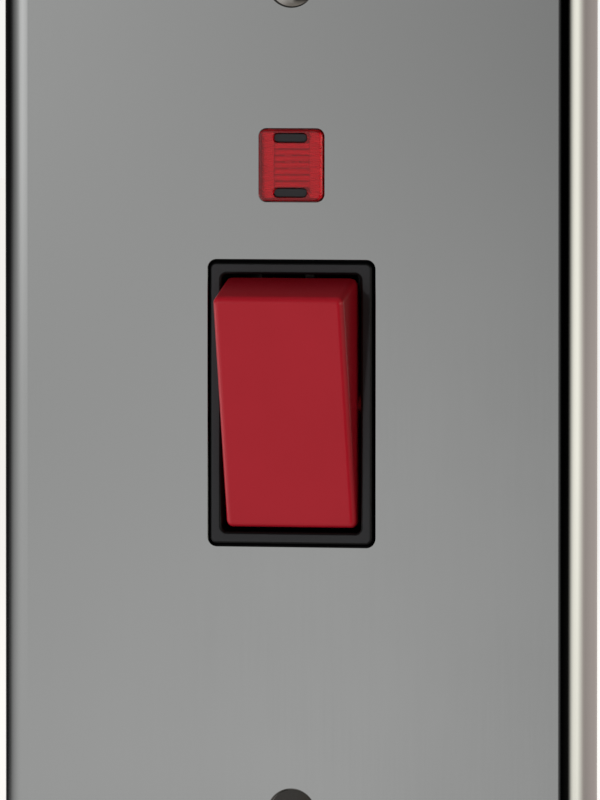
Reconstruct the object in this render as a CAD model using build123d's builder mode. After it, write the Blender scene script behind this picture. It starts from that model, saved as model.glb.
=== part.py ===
from build123d import *

import os
from math import cos, hypot, radians, sin, tan

os.makedirs("parts", exist_ok=True)

# A double-pole cooker switch with a neon indicator, on a formed metal plate for a tall two-gang wall box.
# X runs to the right and Z up the wall. The wall is the plane Y = 0, and the front faces -Y.
# Heights are measured out from the wall towards the front, so a height below zero lies inside the wall box.
# The switch stands in its on position, with the lower end of the rocker pressed in.

# Plays between pieces
slip_gap = 0.25
seat_gap = 0.1
running_gap = 0.05
contact_gap = 0.05
plunger_gap = 0.3

# Front plate, pressed from sheet with a rolled edge
plate_width = 89.0
plate_height = 149.0
plate_depth = 5.0
plate_sheet = 1.2
plate_lip = 0.4
face_corner = 1.4

# Wall screws in the dished holes of the plate
fixing_pitch = 120.65
fixing_thread = 3.5
fixing_neck = 3.0
fixing_play = 0.35
fixing_head = 7.0
fixing_dome = 0.9
fixing_reach = 20.0
fixing_slot = 1.0
fixing_slot_depth = 1.1
dish_gap = 0.2
dish_land = 0.2
dish_rim = 0.5

# Carrier frame behind the plate
carrier_thickness = 2.4
carrier_corner = 2.0
carrier_rim = 1.1
carrier_rim_width = 1.8
carrier_gap = 0.4

# Rocker, measured from the axis of its trunnions
rocker_length = 34.3
rocker_width = 19.6
rocker_tilt = 12.6
rocker_wall = 1.8
rocker_roof = 2.0
rocker_round = 0.7
rocker_corner = 0.8
rocker_draft = 7.7
pivot_depth = 2.2
skirt_depth = 1.8
skirt_bottom = 3.0
skirt_tuck = 0.3
trunnion_diameter = 2.4
trunnion_engagement = 1.1
sleeve_wall = 0.75
sleeve_bottom = 6.0

# Bezel around the rocker
switch_drop = 0.7
bezel_wall = 1.7
bezel_gap = 0.45
bezel_corner = 0.9
bezel_proud = 0.4
bezel_round = 0.4
window_side_gap = 0.65
window_end_gap = 0.39
window_corner = 0.8
shoulder_step = 1.8
flange_thickness = 2.0
flange_corner = 3.0

# Plungers and springs, one for each pole
pole_offset = 4.7
plunger_diameter = 3.4
plunger_back = 1.0
nose_reach = 9.0
spring_wire = 0.44
spring_turns = 5.5

# Rocking contact arms
arm_tilt = 5.5
arm_width = 4.2
arm_thickness = 1.6
arm_cover = 1.4
arm_lower = 11.0
arm_margin = 0.4
fulcrum_diameter = 1.5
stop_reach = 9.0
tip_reach = 14.4
moving_tip_diameter = 3.6
moving_tip_thickness = 1.0
fixed_tip_diameter = 3.8
fixed_tip_thickness = 1.4

# Terminals
strap_width = 4.0
strap_thickness = 1.2
strap_branch = 3.4
entry_diameter = 6.6
block_wall = 1.2
block_thread = 2.7
block_length = 10.0
terminal_thread = 5.0
terminal_screw_length = 6.5
terminal_slot = 1.0

# Base and cover of the mechanism
rocker_room = 1.2
arm_side_room = 0.4
arm_end_room = 2.8
barrier = 1.6
chamber_wall = 1.7
pocket_floor = 3.1
pocket_wall = 1.9
rib = 1.6
coring_depth = 5.5
coring_count = 3
cover_thickness = 2.2
cover_gap = 0.2
lug_width = 6.5
lug_height = 9.0
lug_thickness = 3.0

# Pillars on the plate, and the screws that hold the mechanism together
pillar_spacing = 28.0
pillar_diameter = 5.0
clamp_thread = 3.0
clamp_head = 5.6
clamp_head_height = 2.0
clamp_tip_gap = 0.8
cover_screw_bite = 5.0

# Neon indicator
neon_space = 2.15
lens_width = 9.6
lens_height = 10.45
lens_corner = 1.05
lens_proud = 0.8
lens_round = 0.35
lens_window = 1.4
lens_wall = 0.55
lens_flange = 1.0
lens_flange_step = 0.75
flute_pitch = 0.93
flute_count = 7
flute_width = 5.3
flute_depth = 0.465
holder_wall = 1.2
holder_step = 0.4
holder_depth = 7.3
tongue_width = 5.0
tongue_height = 1.2
tongue_drop = 0.3
tongue_foot = 1.0
ear_width = 3.6
ear_height = 5.0
ear_thickness = 1.4
ear_thread = 2.0
ear_head = 3.4
ear_head_height = 1.1
neon_cover_thickness = 1.2
lamp_diameter = 5.0
lamp_glass = 0.5
lamp_pinch = 1.6
electrode_diameter = 0.8
electrode_length = 6.0
electrode_spread = 1.8
resistor_diameter = 1.7
resistor_length = 6.0
lead_diameter = 1.0
lead_spread = 6.0
lead_rise = 2.0
lead_inset = 0.9
lead_drop = 6.5
lead_bend = 2.0

# Earth terminal on the back of the plate
earth_side_inset = 20.0
earth_end_inset = 28.0
earth_tag_width = 10.0
earth_tag_height = 15.0
earth_tag = 1.0
earth_entry_diameter = 4.5
earth_entry_room = 0.3
earth_block_wall = 1.6
earth_block_thread = 2.4
earth_block_length = 9.0
earth_thread = 4.0
earth_screw_length = 6.0

# The plate: its sheet's back, its rolled edge and the conical seats of the wall screws.
plate_back = plate_depth - plate_sheet
plate_edge = plate_depth - plate_lip
plate_corner = plate_edge + face_corner
fixing_hole = fixing_thread + 2 * fixing_play
dish_diameter = fixing_head + 2 * dish_gap
dish_boss = fixing_hole / 2 + dish_rim + plate_sheet
dish_back = plate_depth - (dish_diameter - fixing_hole) / 2 - dish_land
fixing_points = [(0, fixing_pitch / 2), (0, -fixing_pitch / 2)]

# The stack behind the plate, and the rocker's pivot. The rocker's face is as high above the pivot as brings
# its pressed end level with the bezel, and the window clears the circle that its skirt swings on.
flange_front = plate_back - carrier_thickness
flange_back = flange_front - flange_thickness
bezel_face = plate_depth + bezel_proud
pivot_height = bezel_face - pivot_depth
switch_up = -switch_drop
tilt = radians(rocker_tilt)
half_length = rocker_length / 2
face_height = (pivot_depth + half_length * sin(tilt)) / cos(tilt)
roof_height = face_height - rocker_roof
skirt_half = half_length + (face_height + skirt_depth) * tan(radians(rocker_draft))
window_width = rocker_width + 2 * window_side_gap
window_height = 2 * (hypot(skirt_half, skirt_depth) + window_end_gap)
bezel_width = window_width + 2 * bezel_wall
bezel_height = window_height + 2 * bezel_wall
shoulder_width = bezel_width + 2 * shoulder_step
shoulder_height = bezel_height + 2 * shoulder_step
shoulder_corner = bezel_corner + shoulder_step
sleeve_diameter = plunger_diameter + 2 * (running_gap + sleeve_wall)
chamber_front = pivot_height - skirt_half * sin(tilt) - skirt_bottom * cos(tilt) - rocker_room

# The arms lie just behind the plungers' noses, and the contacts and straps behind the arms.
nose_height = pivot_height - nose_reach * cos(tilt) - plunger_diameter / 2
arm_axis_height = nose_height - plunger_gap - arm_cover
arm_back = arm_axis_height + arm_cover - arm_thickness
arm_upper = tip_reach + moving_tip_diameter / 2 + arm_margin
fixed_tip_front = arm_back - moving_tip_thickness - contact_gap
strap_front = fixed_tip_front - fixed_tip_thickness
strap_back = strap_front - strap_thickness

# The base grows from its two chambers outwards, with a terminal block in each of its corners.
chamber_half = pole_offset + arm_width / 2 + arm_side_room
chamber_end = arm_upper + arm_end_room
block_width = entry_diameter + 2 * block_wall
block_depth = block_wall + entry_diameter + block_thread
block_front = chamber_front - pocket_floor
block_back = block_front - block_depth
block_inner = chamber_half + chamber_wall + seat_gap
block_across = block_inner + block_width / 2
block_foot = chamber_end - strap_branch
block_up = block_foot + block_length / 2
entry_height = block_front - block_wall - entry_diameter / 2
base_width = 2 * (block_inner + block_width + seat_gap + pocket_wall)
base_height = 2 * (block_foot + block_length)
flange_width = base_width + 2 * lug_width
corner_wall_foot = block_foot - seat_gap - pocket_wall
lug_across = (base_width + lug_width) / 2
cover_screw_up = (chamber_end + base_height / 2) / 2
lug_points = [(x * lug_across, y * pillar_spacing / 2) for x in (-1, 1) for y in (-1, 1)]
block_points = [(x * block_across, y * block_up) for x in (-1, 1) for y in (-1, 1)]
cover_screw_points = [(0, cover_screw_up), (0, -cover_screw_up)]
pole_points = [(-pole_offset, 0), (pole_offset, 0)]
sides = ((-1, "left"), (1, "right"))
ends = ((-1, "feed"), (1, "load"))

# The neon's pieces stack up behind the lens, above the top of the base.
lens_front = plate_depth + lens_proud
lens_roof = lens_front - lens_window
lens_back = plate_back - lens_flange
lens_flange_width = lens_width + 2 * lens_flange_step
lens_flange_height = lens_height + 2 * lens_flange_step
holder_width = lens_flange_width + 2 * holder_step
holder_height = lens_flange_height + 2 * holder_step
holder_corner = lens_corner + lens_flange_step + holder_step
holder_room_width = holder_width - 2 * holder_wall
holder_room_height = holder_height - 2 * holder_wall
holder_back = lens_back - holder_depth
neon_up = switch_up + base_height / 2 + neon_space + holder_height / 2
tongue_spread = lens_height - 2 * (lens_wall + seat_gap) - tongue_height
tongue_points = [(0, tongue_spread / 2), (0, -tongue_spread / 2)]
ear_across = (holder_width + ear_width) / 2
ear_points = [(-ear_across, neon_up), (ear_across, neon_up)]
lamp_height = lens_back - seat_gap - lamp_diameter / 2
lamp_length = holder_room_width - 2 * seat_gap

# The earth terminal stands near the plate's lower left corner, and its tunnel passes behind the plate's rim.
earth_across = earth_side_inset - plate_width / 2
earth_up = earth_end_inset - plate_height / 2
earth_front = plate_back - earth_tag
earth_entry_height = -earth_entry_room - earth_entry_diameter / 2
earth_back = earth_entry_height - earth_entry_diameter / 2 - earth_block_thread
earth_block_width = earth_entry_diameter + 2 * earth_block_wall


def level(height, across=0.0, up=0.0):
    """Plane parallel to the wall at a height, facing the front, with x to the right and y up."""
    return Plane(origin=(across, -height, up), x_dir=(1, 0, 0), z_dir=(0, -1, 0))


def tilted(height, degrees):
    """Frame on the switch's middle line at a height. Positive degrees push the lower end in."""
    angle = radians(degrees)
    return Plane(origin=(0, -height, switch_up), x_dir=(1, 0, 0), z_dir=(0, -cos(angle), -sin(angle)))


def side_of(frame):
    """The same frame seen from the right: x up the piece, y out of its face, and z across."""
    return Plane(origin=frame.origin, x_dir=frame.y_dir, z_dir=frame.x_dir)


def save(builder, name):
    """Label a finished piece and write it to its own file."""
    builder.part.label = name
    export_step(builder.part, f"parts/{name}.step")


def pan_screws(points, seat, bite, thread, head, head_height):
    """Slotted pan-head screws driven in from the back, with their heads on a seat and their tips in front."""
    with BuildPart() as screws:
        with BuildSketch(level(seat)):
            with Locations(*points):
                Circle(thread / 2)
        extrude(amount=bite)
        with BuildSketch(level(seat)):
            with Locations(*points):
                Circle(head / 2)
        extrude(amount=-head_height)
        fillet(screws.faces().filter_by(Axis.Y).group_by(Axis.Y)[-1].edges(), head_height / 4)
        with BuildSketch(level(seat - head_height)):
            with Locations(*points):
                Rectangle(2 * head, head_height / 2)
        extrude(amount=head_height / 2, mode=Mode.SUBTRACT)
    return screws


# Front plate: a shallow tray with a quarter-round edge, two windows and two dished screw holes.
with BuildPart() as plate_hollow:
    with BuildSketch(level(0)):
        RectangleRounded(
            plate_width - 2 * plate_sheet, plate_height - 2 * plate_sheet, plate_corner - plate_sheet
        )
    extrude(amount=plate_back)
    fillet(plate_hollow.faces().sort_by(Axis.Y)[0].edges(), plate_edge - plate_sheet)

with BuildPart() as front_plate:
    with BuildSketch(level(0)):
        RectangleRounded(plate_width, plate_height, plate_corner)
    extrude(amount=plate_depth)
    fillet(front_plate.faces().sort_by(Axis.Y)[0].edges(), plate_edge)
    add(plate_hollow.part, mode=Mode.SUBTRACT)
    with BuildSketch(level(plate_back)):
        with Locations(*fixing_points):
            Circle(dish_boss)
    extrude(amount=dish_back - plate_back)
    with Locations(level(plate_depth)):
        with Locations(*fixing_points):
            CounterSinkHole(fixing_hole / 2, dish_diameter / 2, counter_sink_angle=90)
    with BuildSketch(level(plate_depth)):
        with Locations((0, switch_up)):
            RectangleRounded(
                bezel_width + 2 * bezel_gap, bezel_height + 2 * bezel_gap, bezel_corner + bezel_gap
            )
        with Locations((0, neon_up)):
            RectangleRounded(
                lens_width + 2 * seat_gap, lens_height + 2 * seat_gap, lens_corner + seat_gap
            )
    extrude(amount=-plate_sheet, mode=Mode.SUBTRACT)
save(front_plate, "front_plate")

# Pillars: four tapped posts fixed to the back of the plate, which take the clamping screws.
with BuildPart() as plate_pillars:
    with BuildSketch(level(plate_back, 0, switch_up)):
        with Locations(*lug_points):
            Circle(pillar_diameter / 2)
            Circle(clamp_thread / 2 + running_gap, mode=Mode.SUBTRACT)
    extrude(amount=flange_back - plate_back)
save(plate_pillars, "plate_pillars")

# Wall screws: raised heads with a slot across, a plain neck in the plate and a thread from the wall inwards.
fixing_rim = plate_depth - dish_gap + running_gap
fixing_cone_foot = fixing_rim - (fixing_head - fixing_neck) / 2
fixing_top = fixing_rim + fixing_dome
with BuildPart() as fixing_screws:
    for _, up in fixing_points:
        with BuildSketch(Plane.XY.offset(up)):
            with BuildLine():
                TangentArc((0, -fixing_top), (fixing_head / 2, -fixing_rim), tangent=(1, 0))
                Polyline(
                    (fixing_head / 2, -fixing_rim),
                    (fixing_neck / 2, -fixing_cone_foot),
                    (fixing_neck / 2, 0),
                    (fixing_thread / 2, 0),
                    (fixing_thread / 2, fixing_reach),
                    (0, fixing_reach),
                    (0, -fixing_top),
                )
            make_face()
        revolve(axis=Axis((0, 0, up), (0, 1, 0)))
    with BuildSketch(level(fixing_top)):
        with Locations(*fixing_points):
            Rectangle(2 * fixing_head, fixing_slot)
    extrude(amount=-fixing_slot_depth, mode=Mode.SUBTRACT)
save(fixing_screws, "fixing_screws")

# Carrier frame: a moulded liner in the hollow of the plate, with a stiffening rim round its back.
carrier_width = plate_width - 2 * plate_edge - 2 * carrier_gap
carrier_height = plate_height - 2 * plate_edge - 2 * carrier_gap
with BuildPart() as carrier_frame:
    with BuildSketch(level(flange_front)):
        RectangleRounded(carrier_width, carrier_height, carrier_corner)
    extrude(amount=carrier_thickness)
    with BuildSketch(level(flange_front)):
        RectangleRounded(carrier_width, carrier_height, carrier_corner)
        Rectangle(
            carrier_width - 2 * carrier_rim_width,
            carrier_height - 2 * carrier_rim_width,
            mode=Mode.SUBTRACT,
        )
    extrude(amount=-carrier_rim)
    with BuildSketch(level(plate_back)):
        with Locations((0, switch_up)):
            RectangleRounded(
                shoulder_width + 2 * slip_gap, shoulder_height + 2 * slip_gap, shoulder_corner + slip_gap
            )
            with Locations(*lug_points):
                Circle(pillar_diameter / 2 + slip_gap)
        with Locations((0, neon_up)):
            RectangleRounded(
                holder_width + 2 * slip_gap, holder_height + 2 * slip_gap, holder_corner + slip_gap
            )
        with Locations(*ear_points):
            Circle(ear_thread / 2 + running_gap)
        with Locations(*fixing_points):
            Circle(dish_boss + slip_gap)
        with Locations((earth_across, earth_up)):
            Rectangle(earth_tag_width + 2 * slip_gap, earth_tag_height + 2 * slip_gap)
    extrude(amount=-carrier_thickness - carrier_rim, mode=Mode.SUBTRACT)
save(carrier_frame, "carrier_frame")

# Bezel: a ring that stands through the plate, a shoulder behind it and a flange that covers the base.
with BuildPart() as switch_bezel:
    with BuildSketch(level(bezel_face, 0, switch_up)):
        RectangleRounded(bezel_width, bezel_height, bezel_corner)
    extrude(amount=plate_back - bezel_face)
    fillet(switch_bezel.faces().sort_by(Axis.Y)[0].edges(), bezel_round)
    with BuildSketch(level(plate_back, 0, switch_up)):
        RectangleRounded(shoulder_width, shoulder_height, shoulder_corner)
    extrude(amount=flange_front - plate_back)
    with BuildSketch(level(flange_front, 0, switch_up)):
        RectangleRounded(flange_width, base_height, flange_corner)
        with Locations(*lug_points):
            Circle(pillar_diameter / 2 + slip_gap, mode=Mode.SUBTRACT)
    extrude(amount=-flange_thickness)
    with BuildSketch(level(bezel_face, 0, switch_up)):
        RectangleRounded(window_width, window_height, window_corner)
    extrude(amount=flange_back - bezel_face, mode=Mode.SUBTRACT)
    with BuildSketch(side_of(tilted(pivot_height, 0))):
        Circle(trunnion_diameter / 2 + running_gap)
    extrude(amount=window_width / 2 + trunnion_engagement + seat_gap, both=True, mode=Mode.SUBTRACT)
save(switch_bezel, "switch_bezel")

# Rocker: a hollow moulding with drafted ends, two trunnions and a sleeve for each plunger.
rocker_frame = tilted(pivot_height, rocker_tilt)
rocker_side = side_of(rocker_frame)


def rocker_outline(inset, top):
    """Corners of the rocker's section along its length, drawn in by an inset, up to a top height."""
    upper = [
        (half_length - inset, top),
        (skirt_half - inset, -skirt_depth),
        (skirt_half - skirt_tuck - inset, -skirt_bottom),
    ]
    return upper + [(-x, y) for x, y in reversed(upper)]


with BuildPart() as rocker:
    with BuildSketch(rocker_side):
        Polygon(*rocker_outline(0, face_height), align=None)
    extrude(amount=rocker_width / 2, both=True)
    fillet(
        rocker.edges().filter_by(lambda edge: abs(edge.tangent_at(0.5).dot(rocker_frame.z_dir)) > cos(tilt * 2)),
        rocker_corner,
    )
    fillet(rocker.faces().sort_by(Axis(rocker_frame.origin, rocker_frame.z_dir))[-1].edges(), rocker_round)
    with BuildSketch(rocker_side):
        Polygon(*rocker_outline(rocker_wall, roof_height), align=None)
    extrude(amount=rocker_width / 2 - rocker_wall, both=True, mode=Mode.SUBTRACT)
    with BuildSketch(rocker_frame.offset(roof_height)):
        with Locations(*pole_points):
            Circle(sleeve_diameter / 2)
            Circle(plunger_diameter / 2 + running_gap, mode=Mode.SUBTRACT)
    extrude(amount=-roof_height - sleeve_bottom)
    with BuildSketch(rocker_side.offset(rocker_width / 2 - rocker_wall)):
        Circle(trunnion_diameter / 2)
    extrude(amount=window_width / 2 + trunnion_engagement - rocker_width / 2 + rocker_wall)
    mirror(about=Plane.YZ)
save(rocker, "rocker")

# Plungers and springs: each plunger slides in its sleeve, and its round nose presses on a contact arm.
spring_radius = plunger_diameter / 2 - spring_wire
spring_height = roof_height + plunger_back - spring_wire - 2 * running_gap
for side, side_name in sides:
    with BuildPart() as plunger:
        with BuildSketch(rocker_frame.offset(-plunger_back)):
            with Locations((side * pole_offset, 0)):
                Circle(plunger_diameter / 2)
        extrude(amount=plunger_back - nose_reach)
        with Locations(rocker_frame.offset(-nose_reach)):
            with Locations((side * pole_offset, 0)):
                Sphere(plunger_diameter / 2)
    save(plunger, f"{side_name}_plunger")

    coil_foot = rocker_frame.offset(running_gap + spring_wire / 2 - plunger_back)
    with BuildPart() as spring:
        with BuildLine() as coil:
            Helix(
                pitch=spring_height / spring_turns,
                height=spring_height,
                radius=spring_radius,
                center=coil_foot.from_local_coords(Vector(side * pole_offset, 0, 0)),
                direction=rocker_frame.z_dir,
            )
        with BuildSketch(Plane(origin=coil.line @ 0, z_dir=coil.line % 0)):
            Circle(spring_wire / 2)
        sweep(path=coil.line, is_frenet=True)
    save(spring, f"{side_name}_spring")

# Contact arms: bent strips that rock on the fulcrum of the feed terminal. The upper half lies flat when on.
upper_arm = tilted(arm_axis_height, 0)
lower_arm = tilted(arm_axis_height, -2 * arm_tilt)
for side, side_name in sides:
    with BuildPart() as contact_arm:
        with BuildSketch(side_of(upper_arm).offset(side * pole_offset)):
            with Locations((0, arm_cover - arm_thickness)):
                Rectangle(arm_upper, arm_thickness, align=(Align.MIN, Align.MIN))
        extrude(amount=arm_width / 2, both=True)
        with BuildSketch(side_of(lower_arm).offset(side * pole_offset)):
            with Locations((0, arm_cover - arm_thickness)):
                Rectangle(arm_lower, arm_thickness, align=(Align.MAX, Align.MIN))
        extrude(amount=arm_width / 2, both=True)
        with BuildSketch(side_of(upper_arm).offset(side * pole_offset)):
            Circle(fulcrum_diameter / 2 + running_gap)
        extrude(amount=arm_width / 2, both=True, mode=Mode.SUBTRACT)
    save(contact_arm, f"{side_name}_contact_arm")

    with BuildPart() as moving_tip:
        with BuildSketch(level(arm_back, side * pole_offset, switch_up + tip_reach)):
            Circle(moving_tip_diameter / 2)
        extrude(amount=-moving_tip_thickness)
    save(moving_tip, f"{side_name}_moving_tip")

    with BuildPart() as fixed_tip:
        with BuildSketch(level(fixed_tip_front, side * pole_offset, switch_up + tip_reach)):
            Circle(fixed_tip_diameter / 2)
        extrude(amount=-fixed_tip_thickness)
    save(fixed_tip, f"{side_name}_fixed_tip")

# Terminals: a brass block with a cable tunnel and a strap. The feed strap carries the fulcrum and a stop,
# and the load strap carries the fixed contact.
strap_far = chamber_end - seat_gap
strap_inner = pole_offset - strap_width / 2
for side, side_name in sides:
    for end, end_name in ends:
        strap_near = -fulcrum_diameter / 2 if end < 0 else tip_reach - fixed_tip_diameter / 2
        with BuildPart() as terminal:
            with BuildSketch(level(block_front, side * block_across, switch_up + end * block_up)):
                Rectangle(block_width, block_length)
            extrude(amount=-block_depth)
            with BuildSketch(level(strap_front, 0, switch_up)):
                with Locations((side * pole_offset, end * (strap_near + strap_far) / 2)):
                    Rectangle(strap_width, strap_far - strap_near)
                with Locations((side * (strap_inner + block_inner) / 2, end * (block_foot + strap_far) / 2)):
                    Rectangle(block_inner - strap_inner, strap_far - block_foot)
            extrude(amount=-strap_thickness)
            with BuildSketch(Plane.XY.offset(switch_up + end * base_height / 2)):
                with Locations((side * block_across, -entry_height)):
                    Circle(entry_diameter / 2)
            extrude(amount=-end * block_length, mode=Mode.SUBTRACT)
            with BuildSketch(level(block_back, side * block_across, switch_up + end * block_up)):
                Circle(terminal_thread / 2 + running_gap)
            extrude(amount=entry_height - block_back, mode=Mode.SUBTRACT)
            if end < 0:
                with BuildSketch(side_of(upper_arm).offset(side * pole_offset)):
                    Circle(fulcrum_diameter / 2)
                    with Locations((0, strap_front - arm_axis_height)):
                        Rectangle(
                            fulcrum_diameter, arm_axis_height - strap_front, align=(Align.CENTER, Align.MIN)
                        )
                    with Locations((-stop_reach, strap_front - arm_axis_height)):
                        Rectangle(
                            fulcrum_diameter,
                            arm_back - contact_gap - strap_front,
                            align=(Align.CENTER, Align.MIN),
                        )
                extrude(amount=strap_width / 2, both=True)
        save(terminal, f"{side_name}_{end_name}_terminal")

# Terminal screws: slotted studs, backed off so that the cable tunnels are clear.
terminal_tip = entry_height - entry_diameter / 2 - seat_gap
with BuildPart() as terminal_screws:
    with BuildSketch(level(terminal_tip, 0, switch_up)):
        with Locations(*block_points):
            Circle(terminal_thread / 2)
    extrude(amount=-terminal_screw_length)
    with BuildSketch(level(terminal_tip - terminal_screw_length, 0, switch_up)):
        with Locations(*block_points):
            Rectangle(2 * terminal_thread, terminal_slot)
    extrude(amount=terminal_slot, mode=Mode.SUBTRACT)
save(terminal_screws, "terminal_screws")

# Base: a moulded body with room for the rocker, a chamber for each pole, four terminal pockets and cored flanks.
flank_inner = chamber_half + rib
flank_width = base_width / 2 - pocket_wall - flank_inner
flank_pitch = (2 * corner_wall_foot + rib) / coring_count
with BuildPart() as switch_base:
    with BuildSketch(level(flange_back, 0, switch_up)):
        Rectangle(base_width, base_height)
    extrude(amount=strap_back - flange_back)
    with BuildSketch(level(flange_back, 0, switch_up)):
        with Locations(*lug_points):
            Rectangle(lug_width, lug_height)
            Circle(clamp_thread / 2 + seat_gap, mode=Mode.SUBTRACT)
    extrude(amount=-lug_thickness)
    for side, _ in sides:
        for end, _ in ends:
            with BuildSketch(level(strap_back, 0, switch_up)):
                with Locations((side * base_width / 2, end * base_height / 2)):
                    Rectangle(
                        base_width - 2 * (block_inner - seat_gap), base_height - 2 * corner_wall_foot
                    )
                Rectangle(base_width, base_height, mode=Mode.INTERSECT)
            extrude(amount=block_back - strap_back)
            with BuildSketch(level(block_front, 0, switch_up)):
                with Locations((side * block_across, end * (block_up - seat_gap / 2))):
                    Rectangle(block_width + 2 * seat_gap, block_length + seat_gap)
            extrude(amount=-block_depth, mode=Mode.SUBTRACT)
            with BuildSketch(level(strap_back, 0, switch_up)):
                with Locations((side * (chamber_half + block_inner) / 2, end * (block_foot + chamber_end) / 2)):
                    Rectangle(block_inner - chamber_half, strap_branch + 2 * seat_gap)
            extrude(amount=strap_thickness + seat_gap, mode=Mode.SUBTRACT)
        with BuildSketch(level(strap_back, 0, switch_up)):
            with Locations((side * (barrier / 2 + chamber_half) / 2, 0)):
                Rectangle(chamber_half - barrier / 2, 2 * chamber_end)
        extrude(amount=chamber_front - strap_back, mode=Mode.SUBTRACT)
        with BuildSketch(level(strap_back, 0, switch_up)):
            with Locations((side * (flank_inner + flank_width / 2), 0)):
                with GridLocations(0, flank_pitch, 1, coring_count):
                    Rectangle(flank_width, flank_pitch - rib)
        extrude(amount=coring_depth, mode=Mode.SUBTRACT)
    with BuildSketch(level(flange_back, 0, switch_up)):
        RectangleRounded(window_width, window_height, window_corner)
    extrude(amount=chamber_front - flange_back, mode=Mode.SUBTRACT)
    with BuildSketch(level(strap_back, 0, switch_up)):
        with Locations(*cover_screw_points):
            Circle(clamp_thread / 2 + running_gap)
    extrude(amount=cover_screw_bite + seat_gap, mode=Mode.SUBTRACT)
save(switch_base, "switch_base")

# Cover: a cross-shaped plate between the terminal pockets, which closes the chambers and holds the straps.
with BuildPart() as base_cover:
    with BuildSketch(level(strap_back, 0, switch_up)):
        Rectangle(base_width, 2 * (corner_wall_foot - cover_gap))
        Rectangle(2 * (block_inner - seat_gap - cover_gap), base_height)
        with Locations(*cover_screw_points):
            Circle(clamp_thread / 2 + seat_gap, mode=Mode.SUBTRACT)
    extrude(amount=-cover_thickness)
save(base_cover, "base_cover")

# Screws of the mechanism: four into the pillars of the plate, and two that hold the cover.
clamp_screws = pan_screws(
    [(x, y + switch_up) for x, y in lug_points],
    flange_back - lug_thickness,
    lug_thickness + plate_back - flange_back - clamp_tip_gap,
    clamp_thread,
    clamp_head,
    clamp_head_height,
)
save(clamp_screws, "clamp_screws")
cover_screws = pan_screws(
    [(x, y + switch_up) for x, y in cover_screw_points],
    strap_back - cover_thickness,
    cover_thickness + cover_screw_bite,
    clamp_thread,
    clamp_head,
    clamp_head_height,
)
save(cover_screws, "cover_screws")

# Neon lens: a clear red window, hollow behind, with flutes moulded across its inner face between two slots.
with BuildPart() as neon_lens:
    with BuildSketch(level(lens_front, 0, neon_up)):
        RectangleRounded(lens_width, lens_height, lens_corner)
    extrude(amount=plate_back - lens_front)
    fillet(neon_lens.faces().sort_by(Axis.Y)[0].edges(), lens_round)
    with BuildSketch(level(plate_back, 0, neon_up)):
        RectangleRounded(lens_flange_width, lens_flange_height, lens_corner + lens_flange_step)
    extrude(amount=-lens_flange)
    with BuildSketch(level(lens_back, 0, neon_up)):
        Rectangle(lens_width - 2 * lens_wall, lens_height - 2 * lens_wall)
    extrude(amount=lens_roof - lens_back, mode=Mode.SUBTRACT)
    with BuildSketch(Plane.YZ):
        with Locations((-lens_roof, neon_up)):
            with GridLocations(0, flute_pitch, 1, flute_count):
                Polygon((0, flute_pitch / 2), (0, -flute_pitch / 2), (flute_depth, 0), align=None)
    extrude(amount=flute_width / 2, both=True)
    with BuildSketch(level(lens_front, 0, neon_up)):
        with Locations(*tongue_points):
            SlotOverall(tongue_width + 2 * seat_gap, tongue_height + 2 * seat_gap)
    extrude(amount=lens_roof - lens_front, mode=Mode.SUBTRACT)
save(neon_lens, "neon_lens")

# Neon holder: a box behind the lens with an ear at each side, and two tongues that stand in the lens's slots.
tongue_inner = (tongue_spread - tongue_height) / 2
with BuildPart() as neon_holder:
    with BuildSketch(level(lens_back, 0, neon_up)):
        RectangleRounded(holder_width, holder_height, holder_corner)
        Rectangle(holder_room_width, holder_room_height, mode=Mode.SUBTRACT)
    extrude(amount=-holder_depth)
    with BuildSketch(level(flange_front)):
        with Locations(*ear_points):
            Rectangle(ear_width, ear_height)
            Circle(ear_thread / 2 + seat_gap, mode=Mode.SUBTRACT)
    extrude(amount=-ear_thickness)
    with BuildSketch(level(lens_back, 0, neon_up)):
        with Locations(*tongue_points):
            SlotOverall(tongue_width, tongue_height)
    extrude(amount=lens_front - tongue_drop - lens_back)
    with BuildSketch(level(lens_back, 0, neon_up)):
        Rectangle(tongue_width, holder_room_height)
        Rectangle(tongue_width, 2 * tongue_inner, mode=Mode.SUBTRACT)
    extrude(amount=-tongue_foot)
save(neon_holder, "neon_holder")

neon_screws = pan_screws(
    ear_points,
    flange_front - ear_thickness,
    ear_thickness + carrier_thickness - seat_gap,
    ear_thread,
    ear_head,
    ear_head_height,
)
save(neon_screws, "neon_screws")

# Neon lamp: a glass tube lying across the holder, with its two electrodes sealed into the right end.
lamp_axis = Plane(origin=(-lamp_length / 2, -lamp_height, neon_up), x_dir=(0, 0, 1), z_dir=(1, 0, 0))
electrode_points = [(electrode_spread / 2, 0), (-electrode_spread / 2, 0)]
with BuildPart() as neon_lamp:
    with BuildSketch(lamp_axis):
        Circle(lamp_diameter / 2)
    extrude(amount=lamp_length)
    fillet(neon_lamp.edges(), lamp_diameter / 4)
    with BuildSketch(lamp_axis.offset(lamp_glass)):
        Circle(lamp_diameter / 2 - lamp_glass)
    extrude(amount=lamp_length - lamp_glass - lamp_pinch, mode=Mode.SUBTRACT)
    with BuildSketch(lamp_axis.offset(lamp_length)):
        with Locations(*electrode_points):
            Circle(electrode_diameter / 2 + running_gap)
    extrude(amount=-lamp_pinch, mode=Mode.SUBTRACT)
save(neon_lamp, "neon_lamp")

with BuildPart() as neon_electrodes:
    with BuildSketch(lamp_axis.offset(lamp_length)):
        with Locations(*electrode_points):
            Circle(electrode_diameter / 2)
    extrude(amount=-electrode_length)
save(neon_electrodes, "neon_electrodes")

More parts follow.
